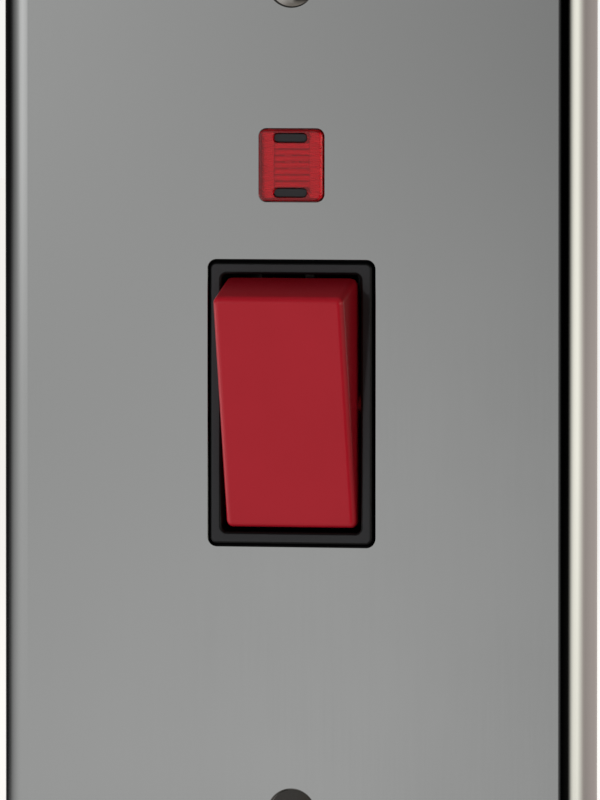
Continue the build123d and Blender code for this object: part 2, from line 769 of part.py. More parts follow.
# Ballast resistor: a small cylinder behind the lamp, lying on the neon's cover.
resistor_height = holder_back + seat_gap + resistor_diameter / 2
with BuildPart() as neon_resistor:
    with BuildSketch(Plane(origin=(0, -resistor_height, neon_up), x_dir=(0, 0, 1), z_dir=(1, 0, 0))):
        Circle(resistor_diameter / 2)
    extrude(amount=resistor_length / 2, both=True)
    fillet(neon_resistor.edges(), resistor_diameter / 5)
save(neon_resistor, "neon_resistor")

with BuildPart() as neon_cover:
    with BuildSketch(level(holder_back, 0, neon_up)):
        RectangleRounded(holder_width, holder_height, holder_corner)
        with Locations((-lead_spread / 2, lead_rise), (lead_spread / 2, lead_rise)):
            Circle(lead_diameter / 2 + running_gap, mode=Mode.SUBTRACT)
    extrude(amount=-neon_cover_thickness)
save(neon_cover, "neon_cover")

# Neon leads: insulated wires from the back of the neon to the outer faces of the load terminals.
lead_end_up = switch_up + base_height / 2
lead_end_height = block_front - lead_inset
for side, side_name in sides:
    lead_start = (side * lead_spread / 2, -holder_back, neon_up + lead_rise)
    lead_turn = (side * lead_spread / 2, -lead_end_height, neon_up + lead_rise)
    lead_knee = (side * (block_inner + lead_inset), -lead_end_height, lead_end_up + lead_drop)
    lead_end = (side * (block_inner + lead_inset), -lead_end_height, lead_end_up)
    with BuildPart() as neon_lead:
        with BuildLine() as route:
            FilletPolyline(lead_start, lead_turn, lead_knee, lead_end, radius=lead_bend)
        with BuildSketch(Plane(origin=route.line @ 0, z_dir=route.line % 0)):
            Circle(lead_diameter / 2)
        sweep(path=route.line)
    save(neon_lead, f"{side_name}_neon_lead")

# Earth terminal: a tag welded to the back of the plate, with a tunnel block that opens downwards.
with BuildPart() as earth_terminal:
    with BuildSketch(level(plate_back, earth_across, earth_up)):
        Rectangle(earth_tag_width, earth_tag_height)
    extrude(amount=-earth_tag)
    with BuildSketch(level(earth_front, earth_across, earth_up)):
        Rectangle(earth_block_width, earth_block_length)
    extrude(amount=earth_back - earth_front)
    with BuildSketch(Plane.XY.offset(earth_up)):
        with Locations((earth_across, -earth_entry_height)):
            Circle(earth_entry_diameter / 2)
    extrude(amount=earth_block_length / 2, both=True, mode=Mode.SUBTRACT)
    with BuildSketch(level(earth_back, earth_across, earth_up)):
        Circle(earth_thread / 2 + running_gap)
    extrude(amount=earth_entry_height - earth_back, mode=Mode.SUBTRACT)
save(earth_terminal, "earth_terminal")

earth_tip = earth_entry_height - earth_entry_diameter / 2 - seat_gap
with BuildPart() as earth_screw:
    with BuildSketch(level(earth_tip, earth_across, earth_up)):
        Circle(earth_thread / 2)
    extrude(amount=-earth_screw_length)
    with BuildSketch(level(earth_tip - earth_screw_length, earth_across, earth_up)):
        Rectangle(2 * earth_thread, terminal_slot)
    extrude(amount=terminal_slot, mode=Mode.SUBTRACT)
save(earth_screw, "earth_screw")
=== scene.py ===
from math import cos, pi, radians, sin, tan

import bmesh
import bpy
import numpy as np
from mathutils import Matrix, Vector
from mathutils.geometry import tessellate_polygon


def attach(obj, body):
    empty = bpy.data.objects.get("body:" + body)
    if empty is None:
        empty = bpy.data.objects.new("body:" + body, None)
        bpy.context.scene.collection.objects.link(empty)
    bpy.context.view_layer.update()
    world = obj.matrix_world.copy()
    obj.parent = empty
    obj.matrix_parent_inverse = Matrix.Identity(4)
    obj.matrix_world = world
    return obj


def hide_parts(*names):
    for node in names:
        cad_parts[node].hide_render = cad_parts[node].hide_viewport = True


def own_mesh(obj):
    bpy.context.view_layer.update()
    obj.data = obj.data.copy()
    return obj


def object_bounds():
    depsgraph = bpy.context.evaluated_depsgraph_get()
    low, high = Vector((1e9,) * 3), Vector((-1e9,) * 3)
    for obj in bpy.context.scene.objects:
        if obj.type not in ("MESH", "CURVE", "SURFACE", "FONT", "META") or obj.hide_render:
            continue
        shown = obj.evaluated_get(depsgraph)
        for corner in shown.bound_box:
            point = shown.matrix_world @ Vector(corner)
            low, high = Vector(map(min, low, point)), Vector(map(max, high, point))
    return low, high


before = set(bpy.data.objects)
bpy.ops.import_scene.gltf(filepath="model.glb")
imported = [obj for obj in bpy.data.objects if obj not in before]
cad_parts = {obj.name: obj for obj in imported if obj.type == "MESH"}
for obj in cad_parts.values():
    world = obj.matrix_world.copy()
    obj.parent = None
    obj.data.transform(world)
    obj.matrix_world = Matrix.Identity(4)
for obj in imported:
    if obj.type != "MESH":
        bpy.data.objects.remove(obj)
cad_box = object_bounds()

# FRONT PLATE
# A shallow tray pressed from brass sheet, with a rolled edge, a window for the switch, a small one for the
# neon and two dished screw holes. It is plated with black nickel and polished to a mirror.
MM = 0.001  # sizes are given in millimetres, and the frame is in metres
plate_width = 89.0
plate_height = 149.0
plate_depth = 5.0
plate_sheet = 1.2
plate_lip = 0.4
plate_corner = 6.0
plate_back = plate_depth - plate_sheet
plate_edge = plate_depth - plate_lip
flat_strip = 0.03
foot_round = 0.15
hole_round = 0.06
switch_up = -0.7
switch_window = (25.2, 41.69, 1.35)  # width, height and corner radius
neon_up = 33.825
neon_window = (9.8, 10.65, 1.15)
dish_radius = 3.7
dish_slope = 45
dish_hole = 2.1
dish_foot = 3.2
dish_boss = 3.8
fixing_pitch = 120.65
fixing_ups = (fixing_pitch / 2, -fixing_pitch / 2)
weld_reach = 0.001
shortest_edge = 0.0005
crease_angle = 35


def outline(width, height, corner, across=0.0, up=0.0, steps=8):
    """Rounded rectangles as (across, up) points: four quarter circles of the corner radius about the corner
    centres, joined by straight sides, anticlockwise. Sizes may be columns, one outline for each row."""
    quarter = np.repeat(np.arange(4), steps + 1)
    angle = (quarter + np.tile(np.linspace(0, 1, steps + 1), 4)) * pi / 2
    right = np.where((quarter == 0) | (quarter == 3), 1, -1)
    top = np.where(quarter < 2, 1, -1)
    x = across + right * (width / 2 - corner) + corner * np.cos(angle)
    z = up + top * (height / 2 - corner) + corner * np.sin(angle)
    return np.stack(np.broadcast_arrays(x, z), axis=-1)


def stacked(loops, outs):
    """Rows of (across, up) outlines made a grid of (across, up, out) points, each row at its own height."""
    heights = np.broadcast_to(np.array(outs)[:, None, None], loops.shape[:2] + (1,))
    return np.concatenate([loops, heights], axis=-1)


def carried(width, height, corner, profile, across=0.0, up=0.0, steps=8):
    """A profile carried round a rounded rectangle: row k is the outline drawn in by the profile's first
    number, standing out as far as its second."""
    inset, out = np.array(profile).T
    inset = inset[:, None]
    return stacked(outline(width - 2 * inset, height - 2 * inset, corner - inset, across, up, steps), out)


def arc(centre, radius, start, end, steps):
    """Points of a circular arc about a centre, from one angle to another in degrees."""
    angle = np.radians(np.linspace(start, end, steps + 1))
    return list(zip(centre[0] + radius * np.cos(angle), centre[1] + radius * np.sin(angle)))


def quads(rows, columns, closed):
    """Faces of a grid of points: each one with the next in its row and the two beside them in the next row.
    Where the rows are closed, the last point of a row joins the first."""
    row = np.arange(rows - 1)[:, None] * columns
    here = np.arange(columns if closed else columns - 1)
    beside = (here + 1) % columns
    corners = [row + here, row + beside, row + beside + columns, row + here + columns]
    return np.stack(corners, -1).reshape(-1, 4)


def from_the_front(points):
    """Places (across, up, out) points in the frame: X across, Z up and -Y out of the wall."""
    return points[:, [0, 2, 1]] * (1, -1, 1)


def stands_for(mesh, finish, body, nodes):
    """Gives a finished mesh its material and an object that takes the place of CAD nodes on their body."""
    mesh.materials.append(finish)
    made = bpy.data.objects.new(mesh.name, mesh)
    bpy.context.scene.collection.objects.link(made)
    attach(made, body)
    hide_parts(*nodes)
    return made


def piece(
    name, finish, nodes, rings=(), sheets=(), flats=(),
    body="frame", place=from_the_front, crease=crease_angle,
):
    """One welded mesh from closed grids, open grids and flat faces, each face given as how far it stands out
    and its outlines. Edges sharper than the crease, in degrees, stay sharp."""
    points, faces, count = [], [], 0
    for grid, closed in [(g, True) for g in rings] + [(g, False) for g in sheets]:
        points.append(grid.reshape(-1, 3))
        faces += (quads(*grid.shape[:2], closed) + count).tolist()
        count += len(points[-1])
    for out, loops in flats:
        corners = np.concatenate(loops)
        points.append(np.column_stack([corners, np.full(len(corners), out)]))
        faces += (np.array(tessellate_polygon([loop.tolist() for loop in loops])) + count).tolist()
        count += len(corners)
    mesh = bpy.data.meshes.new(name)
    mesh.from_pydata((place(np.concatenate(points)) * MM).tolist(), [], faces)
    welded = bmesh.new()
    welded.from_mesh(mesh)
    bmesh.ops.remove_doubles(welded, verts=welded.verts, dist=weld_reach * MM)
    bmesh.ops.dissolve_degenerate(welded, edges=welded.edges, dist=shortest_edge * MM)
    bmesh.ops.recalc_face_normals(welded, faces=welded.faces)
    welded.to_mesh(mesh)
    welded.free()
    mesh.shade_smooth()
    mesh.set_sharp_from_angle(angle=radians(crease))
    return stands_for(mesh, finish, body, nodes)


def linear(code):
    """Linear colour of an sRGB hex code, by the standard curve."""
    value = np.array([int(code[i : i + 2], 16) for i in (1, 3, 5)]) / 255
    return (*np.where(value <= 0.04045, value / 12.92, ((value + 0.055) / 1.055) ** 2.4).tolist(), 1.0)


def add(tree, kind, inputs, **settings):
    """Adds a node with its settings. An input given a socket is linked to it, and any other is set."""
    node = tree.nodes.new("ShaderNode" + kind)
    for name, value in settings.items():
        setattr(node, name, value)
    for name, value in inputs.items():
        if isinstance(value, bpy.types.NodeSocket):
            tree.links.new(value, node.inputs[name])
        else:
            node.inputs[name].default_value = value
    return node


def finish(name, **constants):
    """Starts a material, with what is the same all over set on its shader's own sockets."""
    material = bpy.data.materials.new(name)
    material.use_nodes = True
    shader = material.node_tree.nodes["Principled BSDF"]
    for socket, value in constants.items():
        shader.inputs[socket.replace("_", " ")].default_value = value
    return material, material.node_tree, shader


# Black nickel, polished: a dark mirror, with soft patches and faint upright polishing lines in its sharpness.
# The lines are drawn coarser than the 0.02 mm of real polishing grit. The unpolished back is dull, and the
# sheared walls of the windows, which face sideways higher than the back of the sheet, are dull and painted
# near black as shade in the gaps round the bezel and the lens.
nickel_patch = 22.0
nickel_line = (0.3, 0.3, 14.0)
sheared_fade = 0.2
black_nickel, tree, shader = finish("black_nickel_polished", Metallic=1.0)
spot = add(tree, "TexCoord", {})
patch = add(
    tree, "TexNoise", {"Vector": spot.outputs["Object"], "Scale": 1 / (nickel_patch * MM), "Detail": 3.0}
)
along = add(
    tree, "Mapping", {"Vector": spot.outputs["Object"], "Scale": [1 / (size * MM) for size in nickel_line]}
)
lines = add(tree, "TexNoise", {"Vector": along.outputs["Vector"], "Scale": 1.0, "Detail": 2.0})
polish = add(
    tree, "MapRange",
    {"Value": patch.outputs["Fac"], "From Min": 0.3, "From Max": 0.7, "To Min": 0.05, "To Max": 0.07},
)
lined = add(
    tree, "MapRange", {"Value": lines.outputs["Fac"], "From Min": 0.3, "From Max": 0.7, "To Max": 0.015}
)
facing = add(tree, "SeparateXYZ", {"Vector": spot.outputs["Normal"]})
behind = add(
    tree, "MapRange", {"Value": facing.outputs["Y"], "From Min": 0.02, "From Max": 0.2, "To Max": 0.3}
)
front = add(tree, "Math", {0: polish.outputs["Result"], 1: lined.outputs["Result"]})
way = add(tree, "SeparateXYZ", {"Vector": spot.outputs["Object"]})
sheared_foot = (sheared_fade - plate_back) * MM
raised = add(
    tree, "MapRange", {"Value": way.outputs["Y"], "From Min": sheared_foot, "From Max": -plate_back * MM}
)
aside = add(tree, "MapRange", {"Value": facing.outputs["Y"], "From Min": -0.65, "From Max": -0.35})
dull_painted_shade_walls = add(tree, "Math", {0: raised.outputs["Result"], 1: aside.outputs["Result"]}, operation="MULTIPLY")
# Painted shade: the sheared window walls are coloured near black, as the shade in the gaps round the bezel
# and the lens.
tone = add(
    tree, "Mix", {"Factor": dull_painted_shade_walls.outputs[0], "A": linear("#AFB0AF"), "B": linear("#1E1D1C")},
    data_type="RGBA",
)
worn = add(
    tree, "Math", {0: dull_painted_shade_walls.outputs[0], 1: 0.35, 2: behind.outputs["Result"]}, operation="MULTIPLY_ADD"
)
rough = add(tree, "Math", {0: front.outputs[0], 1: worn.outputs[0]})
tree.links.new(tone.outputs["Result"], shader.inputs["Base Color"])
tree.links.new(rough.outputs[0], shader.inputs["Roughness"])

edge_profile = (
    [(plate_edge + flat_strip, plate_depth)]
    + arc((plate_edge, plate_lip), plate_edge, 90, 180, steps=28)
    + arc((foot_round, foot_round), foot_round, 180, 270, steps=3)
    + arc((plate_sheet - foot_round, foot_round), foot_round, 270, 360, steps=3)
    + arc((plate_edge, plate_lip), plate_edge - plate_sheet, 180, 90, steps=20)
    + [(plate_edge + flat_strip, plate_back)]
)
edge = carried(plate_width, plate_height, plate_corner, edge_profile, steps=24)
window_profile = (
    [(-hole_round - flat_strip, plate_depth)]
    + arc((-hole_round, plate_depth - hole_round), hole_round, 90, 0, steps=6)
    + [(0, plate_back)]
)
windows = [
    carried(*switch_window, window_profile, up=switch_up),
    carried(*neon_window, window_profile, up=neon_up),
]
rim_set_back = hole_round * tan(radians(dish_slope / 2))
dish_profile = (
    [(-rim_set_back - flat_strip, plate_depth)]
    + arc((-rim_set_back, plate_depth - hole_round), hole_round, 90, dish_slope, steps=5)
    + [(dish_radius - dish_hole, plate_depth - dish_radius + dish_hole)]
    + [(dish_radius - dish_hole, dish_foot), (dish_radius - dish_boss, dish_foot)]
    + [(dish_radius - dish_boss, plate_back)]
)
dishes = [
    carried(2 * dish_radius, 2 * dish_radius, dish_radius, dish_profile, up=up, steps=16) for up in fixing_ups
]
plate_rings = [edge, *windows, *dishes]
plate_flats = [
    (plate_depth, [ring[0, :, :2] for ring in plate_rings]),
    (plate_back, [ring[-1, :, :2] for ring in plate_rings]),
]
piece("plate", black_nickel, ["front_plate"], plate_rings, flats=plate_flats)

# PILLARS
# Four round posts turned from brass bar and tapped, brazed to the back of the plate. The clamping screws go
# into them and draw the base up to the plate.


def dressed(finish, *nodes):
    """Gives CAD nodes whose shape is right a finish, on every slot of their meshes."""
    for node in nodes:
        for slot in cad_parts[node].material_slots:
            slot.material = finish


# Brass, machined: yellow metal with fine tool marks and brown tarnish in soft patches, and painted dark brown
# near the middle as the shade inside the switching chamber. The tool marks are drawn coarser than the 0.05 mm
# feed of a real cutter. At a scale of 1 the wave has wave_bands of them in each metre.
brass_mark = 0.2
wave_bands = 20 / (2 * pi)
brass_patch = 3.0
shade_half = 8.5
shade_fade = 0.5
machined_brass, tree, shader = finish("brass_machined", Metallic=1.0)
place = add(tree, "TexCoord", {}).outputs["Object"]
patch = add(tree, "TexNoise", {"Vector": place, "Scale": 1 / (brass_patch * MM), "Detail": 4.0})
tarnish = add(tree, "MapRange", {"Value": patch.outputs["Fac"], "From Min": 0.4, "From Max": 0.75})
tone = add(
    tree, "Mix", {"Factor": tarnish.outputs["Result"], "A": linear("#D8B566"), "B": linear("#A67C3C")},
    data_type="RGBA",
)
way = add(tree, "SeparateXYZ", {"Vector": place})
aside = add(tree, "Math", {0: way.outputs["X"]}, operation="ABSOLUTE")
# Painted shade: brass within 8.5 mm of the middle is coloured dark brown, as the shade inside the chamber.
inner_shade = add(
    tree, "MapRange",
    {"Value": aside.outputs[0], "From Min": shade_half * MM, "From Max": (shade_half - shade_fade) * MM},
)
shaded_inside = add(
    tree, "Mix", {"Factor": inner_shade.outputs["Result"], "A": tone.outputs["Result"], "B": linear("#2B2118")},
    data_type="RGBA",
)
marks = add(
    tree, "TexWave",
    {"Vector": place, "Scale": 1 / (wave_bands * brass_mark * MM), "Distortion": 1.5, "Detail": 2.0},
    bands_direction="Z",
)
dull = add(
    tree, "MapRange",
    {"Value": patch.outputs["Fac"], "From Min": 0.3, "From Max": 0.8, "To Min": 0.22, "To Max": 0.42},
)
duller = add(
    tree, "Math", {0: inner_shade.outputs["Result"], 1: 0.4, 2: dull.outputs["Result"]}, operation="MULTIPLY_ADD"
)
ridge = add(tree, "Bump", {"Height": marks.outputs["Fac"], "Strength": 0.25, "Distance": 0.01 * MM})
tree.links.new(shaded_inside.outputs["Result"], shader.inputs["Base Color"])
tree.links.new(duller.outputs[0], shader.inputs["Roughness"])
tree.links.new(ridge.outputs["Normal"], shader.inputs["Normal"])
dressed(machined_brass, "plate_pillars")

# EARTH TERMINAL
# A brass tag welded to the back of the plate, with a tunnel block milled for the earth wire. Its slotted
# screw is zinc-plated steel and stands backed off, so the tunnel is clear.
earth_across = -24.5
earth_up = -46.5
earth_end = 10.9
flat_within = 0.5
eased_over = 40
thread_depth = 0.54
thread_rows = 8
thread_crease = 40
run_in = 0.1
slot_end_steps = 4
stud_slot = 1.0
stud_ease = 0.3
stud_crown = 0.4
stud_play = 0.05
stud_point = 0.6


def softened(name, finish, node, ease, body="frame"):
    """A CAD piece with eased edges: its triangles are welded, neighbours that are flat within a limit merged,
    and a bevel as wide as the ease rounds every edge that turns by more than another limit."""
    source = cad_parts[node].data
    points = np.empty(3 * len(source.vertices))
    source.vertices.foreach_get("co", points)
    corners = np.empty(3 * len(source.polygons), dtype=np.int32)
    source.loops.foreach_get("vertex_index", corners)
    mesh = bpy.data.meshes.new(name)
    mesh.from_pydata(points.reshape(-1, 3).tolist(), [], corners.reshape(-1, 3).tolist())
    welded = bmesh.new()
    welded.from_mesh(mesh)
    bmesh.ops.remove_doubles(welded, verts=welded.verts, dist=weld_reach * MM)
    bmesh.ops.dissolve_limit(welded, verts=welded.verts, edges=welded.edges, angle_limit=radians(flat_within))
    welded.to_mesh(mesh)
    welded.free()
    mesh.shade_smooth()
    mesh.set_sharp_from_angle(angle=radians(crease_angle))
    made = stands_for(mesh, finish, body, [node])
    bevel = made.modifiers.new("eased edges", "BEVEL")
    bevel.width = ease * MM
    bevel.segments = 2
    bevel.limit_method = "ANGLE"
    bevel.angle_limit = radians(eased_over)
    bevel.harden_normals = True
    bevel.use_clamp_overlap = False
    return made


def from_the_back(points):
    """Places (across, up, out) points that are seen from behind the wall: -X across, Z up and +Y out."""
    return points[:, [0, 2, 1]] * (-1, 1, 1)


def slotted_screws(
    name, finish, node, centres, head, cut, below, thread, tip, place=from_the_back, steps=20
):
    """Slotted screws as turned profiles of (radius, height). Above the slot's floor each half of the head
    turns from one slot wall to the other, which at a radius is from the arcsine of half the cut over it to pi
    less that. The floor is a strip between the feet of the walls, with a segment of the head's circle at each
    end. Below it full rings follow, then a thread, given as radius, pitch, start and end, whose radius is a
    triangle wave of height over pitch less the turn, and the tip closes it."""
    radius, height = np.array(head).T[..., None]
    half = cut / 2
    start = np.arcsin(np.clip(half / radius, 0, 1))
    share = np.linspace(0, 1, steps + 1)
    turn = start + (pi - 2 * start) * share
    upper = np.stack(np.broadcast_arrays(radius * np.cos(turn), radius * np.sin(turn), height), -1)
    floor = head[-1][1]
    wall_top = np.concatenate([upper[::-1, 0], upper[1:, -1]])
    reach = upper[-1, 0, 0]
    wall_foot = np.clip(wall_top, (-reach, half, floor), (reach, half, floor))
    wall = np.stack([wall_top, wall_foot])
    slot_floor = np.stack([wall_foot, wall_foot * (1, -1, 1)], axis=1)
    half_turn = np.array([-1, -1, 1])
    end = np.linspace(pi - start[-1, 0], pi + start[-1, 0], slot_end_steps + 1)
    side = np.concatenate([turn[-1, :-1], end[:-1]])
    angles = np.concatenate([side, side + pi])
    end_points = np.column_stack([head[-1][0] * np.cos(end), head[-1][0] * np.sin(end)])
    thread_radius, pitch, thread_start, thread_end = thread
    depth = thread_depth * pitch
    rows = int(thread_rows * (thread_start - thread_end) / pitch)
    rise = np.linspace(thread_start, thread_end, rows + 1)[:, None]
    run_out = np.clip(np.minimum(thread_start - rise, rise - thread_end) / pitch, 0, 1)
    crest = np.abs((rise / pitch - angles / (2 * pi)) % 1 * 2 - 1)
    plain = np.array([head[-1]] + below)
    shaft_radius = np.concatenate([
        np.broadcast_to(plain[:, :1], (len(plain), len(angles))),
        thread_radius - depth * (1 - crest * run_out),
        np.full((1, len(angles)), tip[0]),
    ])
    shaft_height = np.concatenate([plain[:, 1:], rise, [[tip[1]]]])
    shaft = np.stack(
        np.broadcast_arrays(shaft_radius * np.cos(angles), shaft_radius * np.sin(angles), shaft_height), -1
    )
    sheets, rings, flats = [], [], []
    for across, up in centres:
        shift = np.array([across, up, 0])
        sheets += [grid * turned + shift for grid in (upper, wall) for turned in (np.ones(3), half_turn)]
        sheets.append(slot_floor + shift)
        rings.append(shaft + shift)
        flats += [(floor, [side * end_points + shift[:2]]) for side in (1, -1)]
        flats.append((tip[1], [shaft[-1, :, :2] + shift[:2]]))
    return piece(name, finish, [node], rings, sheets, flats, place=place, crease=thread_crease)


def slotted_studs(name, node, centres, end, radius, pitch, length):
    """Headless slotted screws: a flat end with an eased rim, a thread below the slot and a narrower point."""
    side, floor = radius - stud_play, end - stud_slot
    slotted_screws(
        name, zinc_steel, node, centres,
        [(stud_slot / 2, end), (radius - stud_crown, end), (side, end - stud_ease), (side, floor)],
        stud_slot, [],
        (radius, pitch, floor - run_in, end - (length - stud_ease)), (radius - stud_point, end - length),
    )


# Steel, zinc plated and passivated: pale blue-grey with faint straw patches, a soft gloss and fine pitting.
zinc_patch = 1.5
zinc_pit = 0.12
zinc_steel, tree, shader = finish("steel_zinc_plated", Metallic=1.0)
place = add(tree, "TexCoord", {}).outputs["Object"]
patch = add(tree, "TexNoise", {"Vector": place, "Scale": 1 / (zinc_patch * MM), "Detail": 3.0})
tone = add(
    tree, "Mix", {"Factor": patch.outputs["Fac"], "A": linear("#B7BEC6"), "B": linear("#D2CDBF")},
    data_type="RGBA",
)
dull = add(
    tree, "MapRange",
    {"Value": patch.outputs["Fac"], "From Min": 0.3, "From Max": 0.7, "To Min": 0.24, "To Max": 0.4},
)
pits = add(tree, "TexNoise", {"Vector": place, "Scale": 1 / (zinc_pit * MM), "Detail": 1.0})
pitted = add(tree, "Bump", {"Height": pits.outputs["Fac"], "Strength": 0.1, "Distance": 0.01 * MM})
tree.links.new(tone.outputs["Result"], shader.inputs["Base Color"])
tree.links.new(dull.outputs["Result"], shader.inputs["Roughness"])
tree.links.new(pitted.outputs["Normal"], shader.inputs["Normal"])

softened("earth_tag", machined_brass, "earth_terminal", ease=0.25)
slotted_studs(
    "earth_stud", "earth_screw", [(-earth_across, earth_up)], earth_end, radius=2.0, pitch=0.7, length=6.0
)

# CARRIER FRAME
# A liner moulded in black glass-filled nylon that sits in the hollow of the plate, with cut-outs for all that
# passes through it. Its stiff rim shows all round when the plate is off the wall.

# Nylon, glass filled, moulded: dull charcoal, with pale fibre flecks just under the surface.
# The flecks are drawn coarser than real fibres, which are 0.01 mm thick.
fibre = (0.15, 0.15, 1.2)
carrier_nylon, tree, shader = finish("nylon_glass_filled_moulded")
place = add(tree, "TexCoord", {}).outputs["Object"]
streak = add(tree, "Mapping", {"Vector": place, "Scale": [1 / (size * MM) for size in fibre]})
fibres = add(tree, "TexNoise", {"Vector": streak.outputs["Vector"], "Scale": 1.0, "Detail": 2.0})
fleck = add(tree, "MapRange", {"Value": fibres.outputs["Fac"], "From Min": 0.55, "From Max": 0.75})
tone = add(
    tree, "Mix", {"Factor": fleck.outputs["Result"], "A": linear("#2A2B2D"), "B": linear("#3A3B3D")},
    data_type="RGBA",
)
dull = add(
    tree, "MapRange",
    {"Value": fibres.outputs["Fac"], "From Min": 0.3, "From Max": 0.7, "To Min": 0.5, "To Max": 0.68},
)
grain = add(tree, "Bump", {"Height": fibres.outputs["Fac"], "Strength": 0.25, "Distance": 0.02 * MM})
tree.links.new(tone.outputs["Result"], shader.inputs["Base Color"])
tree.links.new(dull.outputs["Result"], shader.inputs["Roughness"])
tree.links.new(grain.outputs["Normal"], shader.inputs["Normal"])
softened("carrier", carrier_nylon, "carrier_frame", ease=0.2)

# BEZEL
# A black ring that stands through the plate's window, moulded in one with the flange that covers the base and
# holds the rocker's trunnions. It is pressed in from behind until its shoulder meets the plate.

# Urea, moulded: black, with a very fine matt grain on the face of the ring alone, where the tool is spark
# eroded, and painted near black everywhere behind that face as the shade in the gaps round the rocker and
# the plate. The grain is drawn coarser than the 0.05 mm of the real tool.
urea_grain = 0.18
matt_from = 5.36
matt_full = 5.395
bezel_urea, tree, shader = finish("urea_moulded_matt", IOR=1.55, Specular_IOR_Level=0.25)
place = add(tree, "TexCoord", {}).outputs["Object"]
grain = add(tree, "TexNoise", {"Vector": place, "Scale": 1 / (urea_grain * MM), "Detail": 2.0})
matt = add(
    tree, "Mix", {"Factor": grain.outputs["Fac"], "A": linear("#2D2D2F"), "B": linear("#39393B")},
    data_type="RGBA",
)
way = add(tree, "SeparateXYZ", {"Vector": place})
face_over_painted_shade = add(
    tree, "MapRange",
    {"Value": way.outputs["Y"], "From Min": -matt_from * MM, "From Max": -matt_full * MM},
)
# Painted shade: below the face of the ring, the sides, the shoulder and the flange are coloured near black,
# as shade.
tone = add(
    tree, "Mix", {"Factor": face_over_painted_shade.outputs["Result"], "A": linear("#080809"), "B": matt.outputs["Result"]},
    data_type="RGBA",
)
dull = add(
    tree, "MapRange",
    {"Value": grain.outputs["Fac"], "From Min": 0.3, "From Max": 0.7, "To Min": 0.44, "To Max": 0.56},
)
rough = add(tree, "Bump", {"Height": grain.outputs["Fac"], "Strength": 0.15, "Distance": 0.02 * MM})
tree.links.new(tone.outputs["Result"], shader.inputs["Base Color"])
tree.links.new(dull.outputs["Result"], shader.inputs["Roughness"])
tree.links.new(rough.outputs["Normal"], shader.inputs["Normal"])
softened("bezel", bezel_urea, "switch_bezel", ease=0.42)

# ROCKER
# The red key, moulded hollow with drafted ends and well rounded edges. It turns on two trunnions that snap
# into the bezel, and two sleeves under its roof guide the plungers.
pivot_height = 3.2
rocker_tilt = radians(12.6)
rocker_half = 17.15
rocker_width = 19.6
rocker_face = 6.0878
rocker_roof = 4.0878
rocker_wall = 1.8
rocker_round = 0.9
rocker_corner = 1.0
rocker_slope = tan(radians(7.7))
skirt_half = 18.2165
skirt_foot_half = 17.9165
skirt_out = -1.8
skirt_foot = -3.0
skirt_round = 0.2
hollow_corner = 0.4
sleeve_across = (-4.7, 4.7)
sleeve_radius = 2.5
sleeve_bore = 1.75
sleeve_foot = -6.0
sleeve_round = 0.2
trunnion_root = (rocker_width - rocker_wall) / 2
trunnion_radius = 1.2
trunnion_end = 11.55
trunnion_ease = 0.15
trunnion_sides = 32


def on_the_rocker(points):
    """Places (across, along, out) points in the rocker's tilted frame, with its origin on the trunnions."""
    along = np.array([0, -sin(rocker_tilt), cos(rocker_tilt)])
    out = np.array([0, -cos(rocker_tilt), -sin(rocker_tilt)])
    return (0, -pivot_height, switch_up) + points @ np.array([[1, 0, 0], along, out])


# Polycarbonate, moulded in a finely textured tool: satin red, with slow changes of tone and a soft even
# gloss. The texture is drawn coarser than the 0.06 mm of the real tool.
red_grain = 0.2
red_patch = 9.0
rocker_red, tree, shader = finish("polycarbonate_satin_red", IOR=1.585, Specular_IOR_Level=0.35)
place = add(tree, "TexCoord", {}).outputs["Object"]
patch = add(tree, "TexNoise", {"Vector": place, "Scale": 1 / (red_patch * MM), "Detail": 2.0})
grain = add(tree, "TexNoise", {"Vector": place, "Scale": 1 / (red_grain * MM), "Detail": 2.0})
tone = add(
    tree, "Mix", {"Factor": patch.outputs["Fac"], "A": linear("#B71526"), "B": linear("#C01A2C")},
    data_type="RGBA",
)
satin = add(
    tree, "MapRange",
    {"Value": grain.outputs["Fac"], "From Min": 0.3, "From Max": 0.7, "To Min": 0.28, "To Max": 0.36},
)
rough = add(tree, "Bump", {"Height": grain.outputs["Fac"], "Strength": 0.08, "Distance": 0.02 * MM})
tree.links.new(tone.outputs["Result"], shader.inputs["Base Color"])
tree.links.new(satin.outputs["Result"], shader.inputs["Roughness"])
tree.links.new(rough.outputs["Normal"], shader.inputs["Normal"])

edge_round = arc((rocker_round, rocker_face - rocker_round), rocker_round, 90, 180, steps=9)
outer = [(rocker_round + flat_strip, rocker_face)] + edge_round
outer_inset, outer_out = np.array(outer).T
outer_length = rocker_half + (rocker_face - outer_out) * rocker_slope - outer_inset
skirt_edge = arc((skirt_round, skirt_foot + skirt_round), skirt_round, 180, 270, steps=3)
foot_inset, foot_out = np.array(skirt_edge).T
shell_inset = np.concatenate([outer_inset, [0], foot_inset, [rocker_wall] * 3])
shell_length = np.concatenate(
    [outer_length, [skirt_half], skirt_foot_half - foot_inset]
    + [[skirt_foot_half - rocker_wall, skirt_half - rocker_wall, rocker_half - rocker_wall]]
)
shell_out = np.concatenate([outer_out, [skirt_out], foot_out, [skirt_foot, skirt_out, rocker_roof]])
shell_corner = np.maximum(rocker_corner - shell_inset, hollow_corner)
shell = stacked(
    outline(rocker_width - 2 * shell_inset[:, None], 2 * shell_length[:, None], shell_corner[:, None]),
    shell_out,
)
sleeve_profile = (
    [(0, rocker_roof)]
    + arc((sleeve_round, sleeve_foot + sleeve_round), sleeve_round, 180, 270, steps=3)
    + [(sleeve_radius - sleeve_bore, sleeve_foot), (sleeve_radius - sleeve_bore, rocker_roof)]
)
sleeves = [
    carried(2 * sleeve_radius, 2 * sleeve_radius, sleeve_radius, sleeve_profile, x) for x in sleeve_across
]
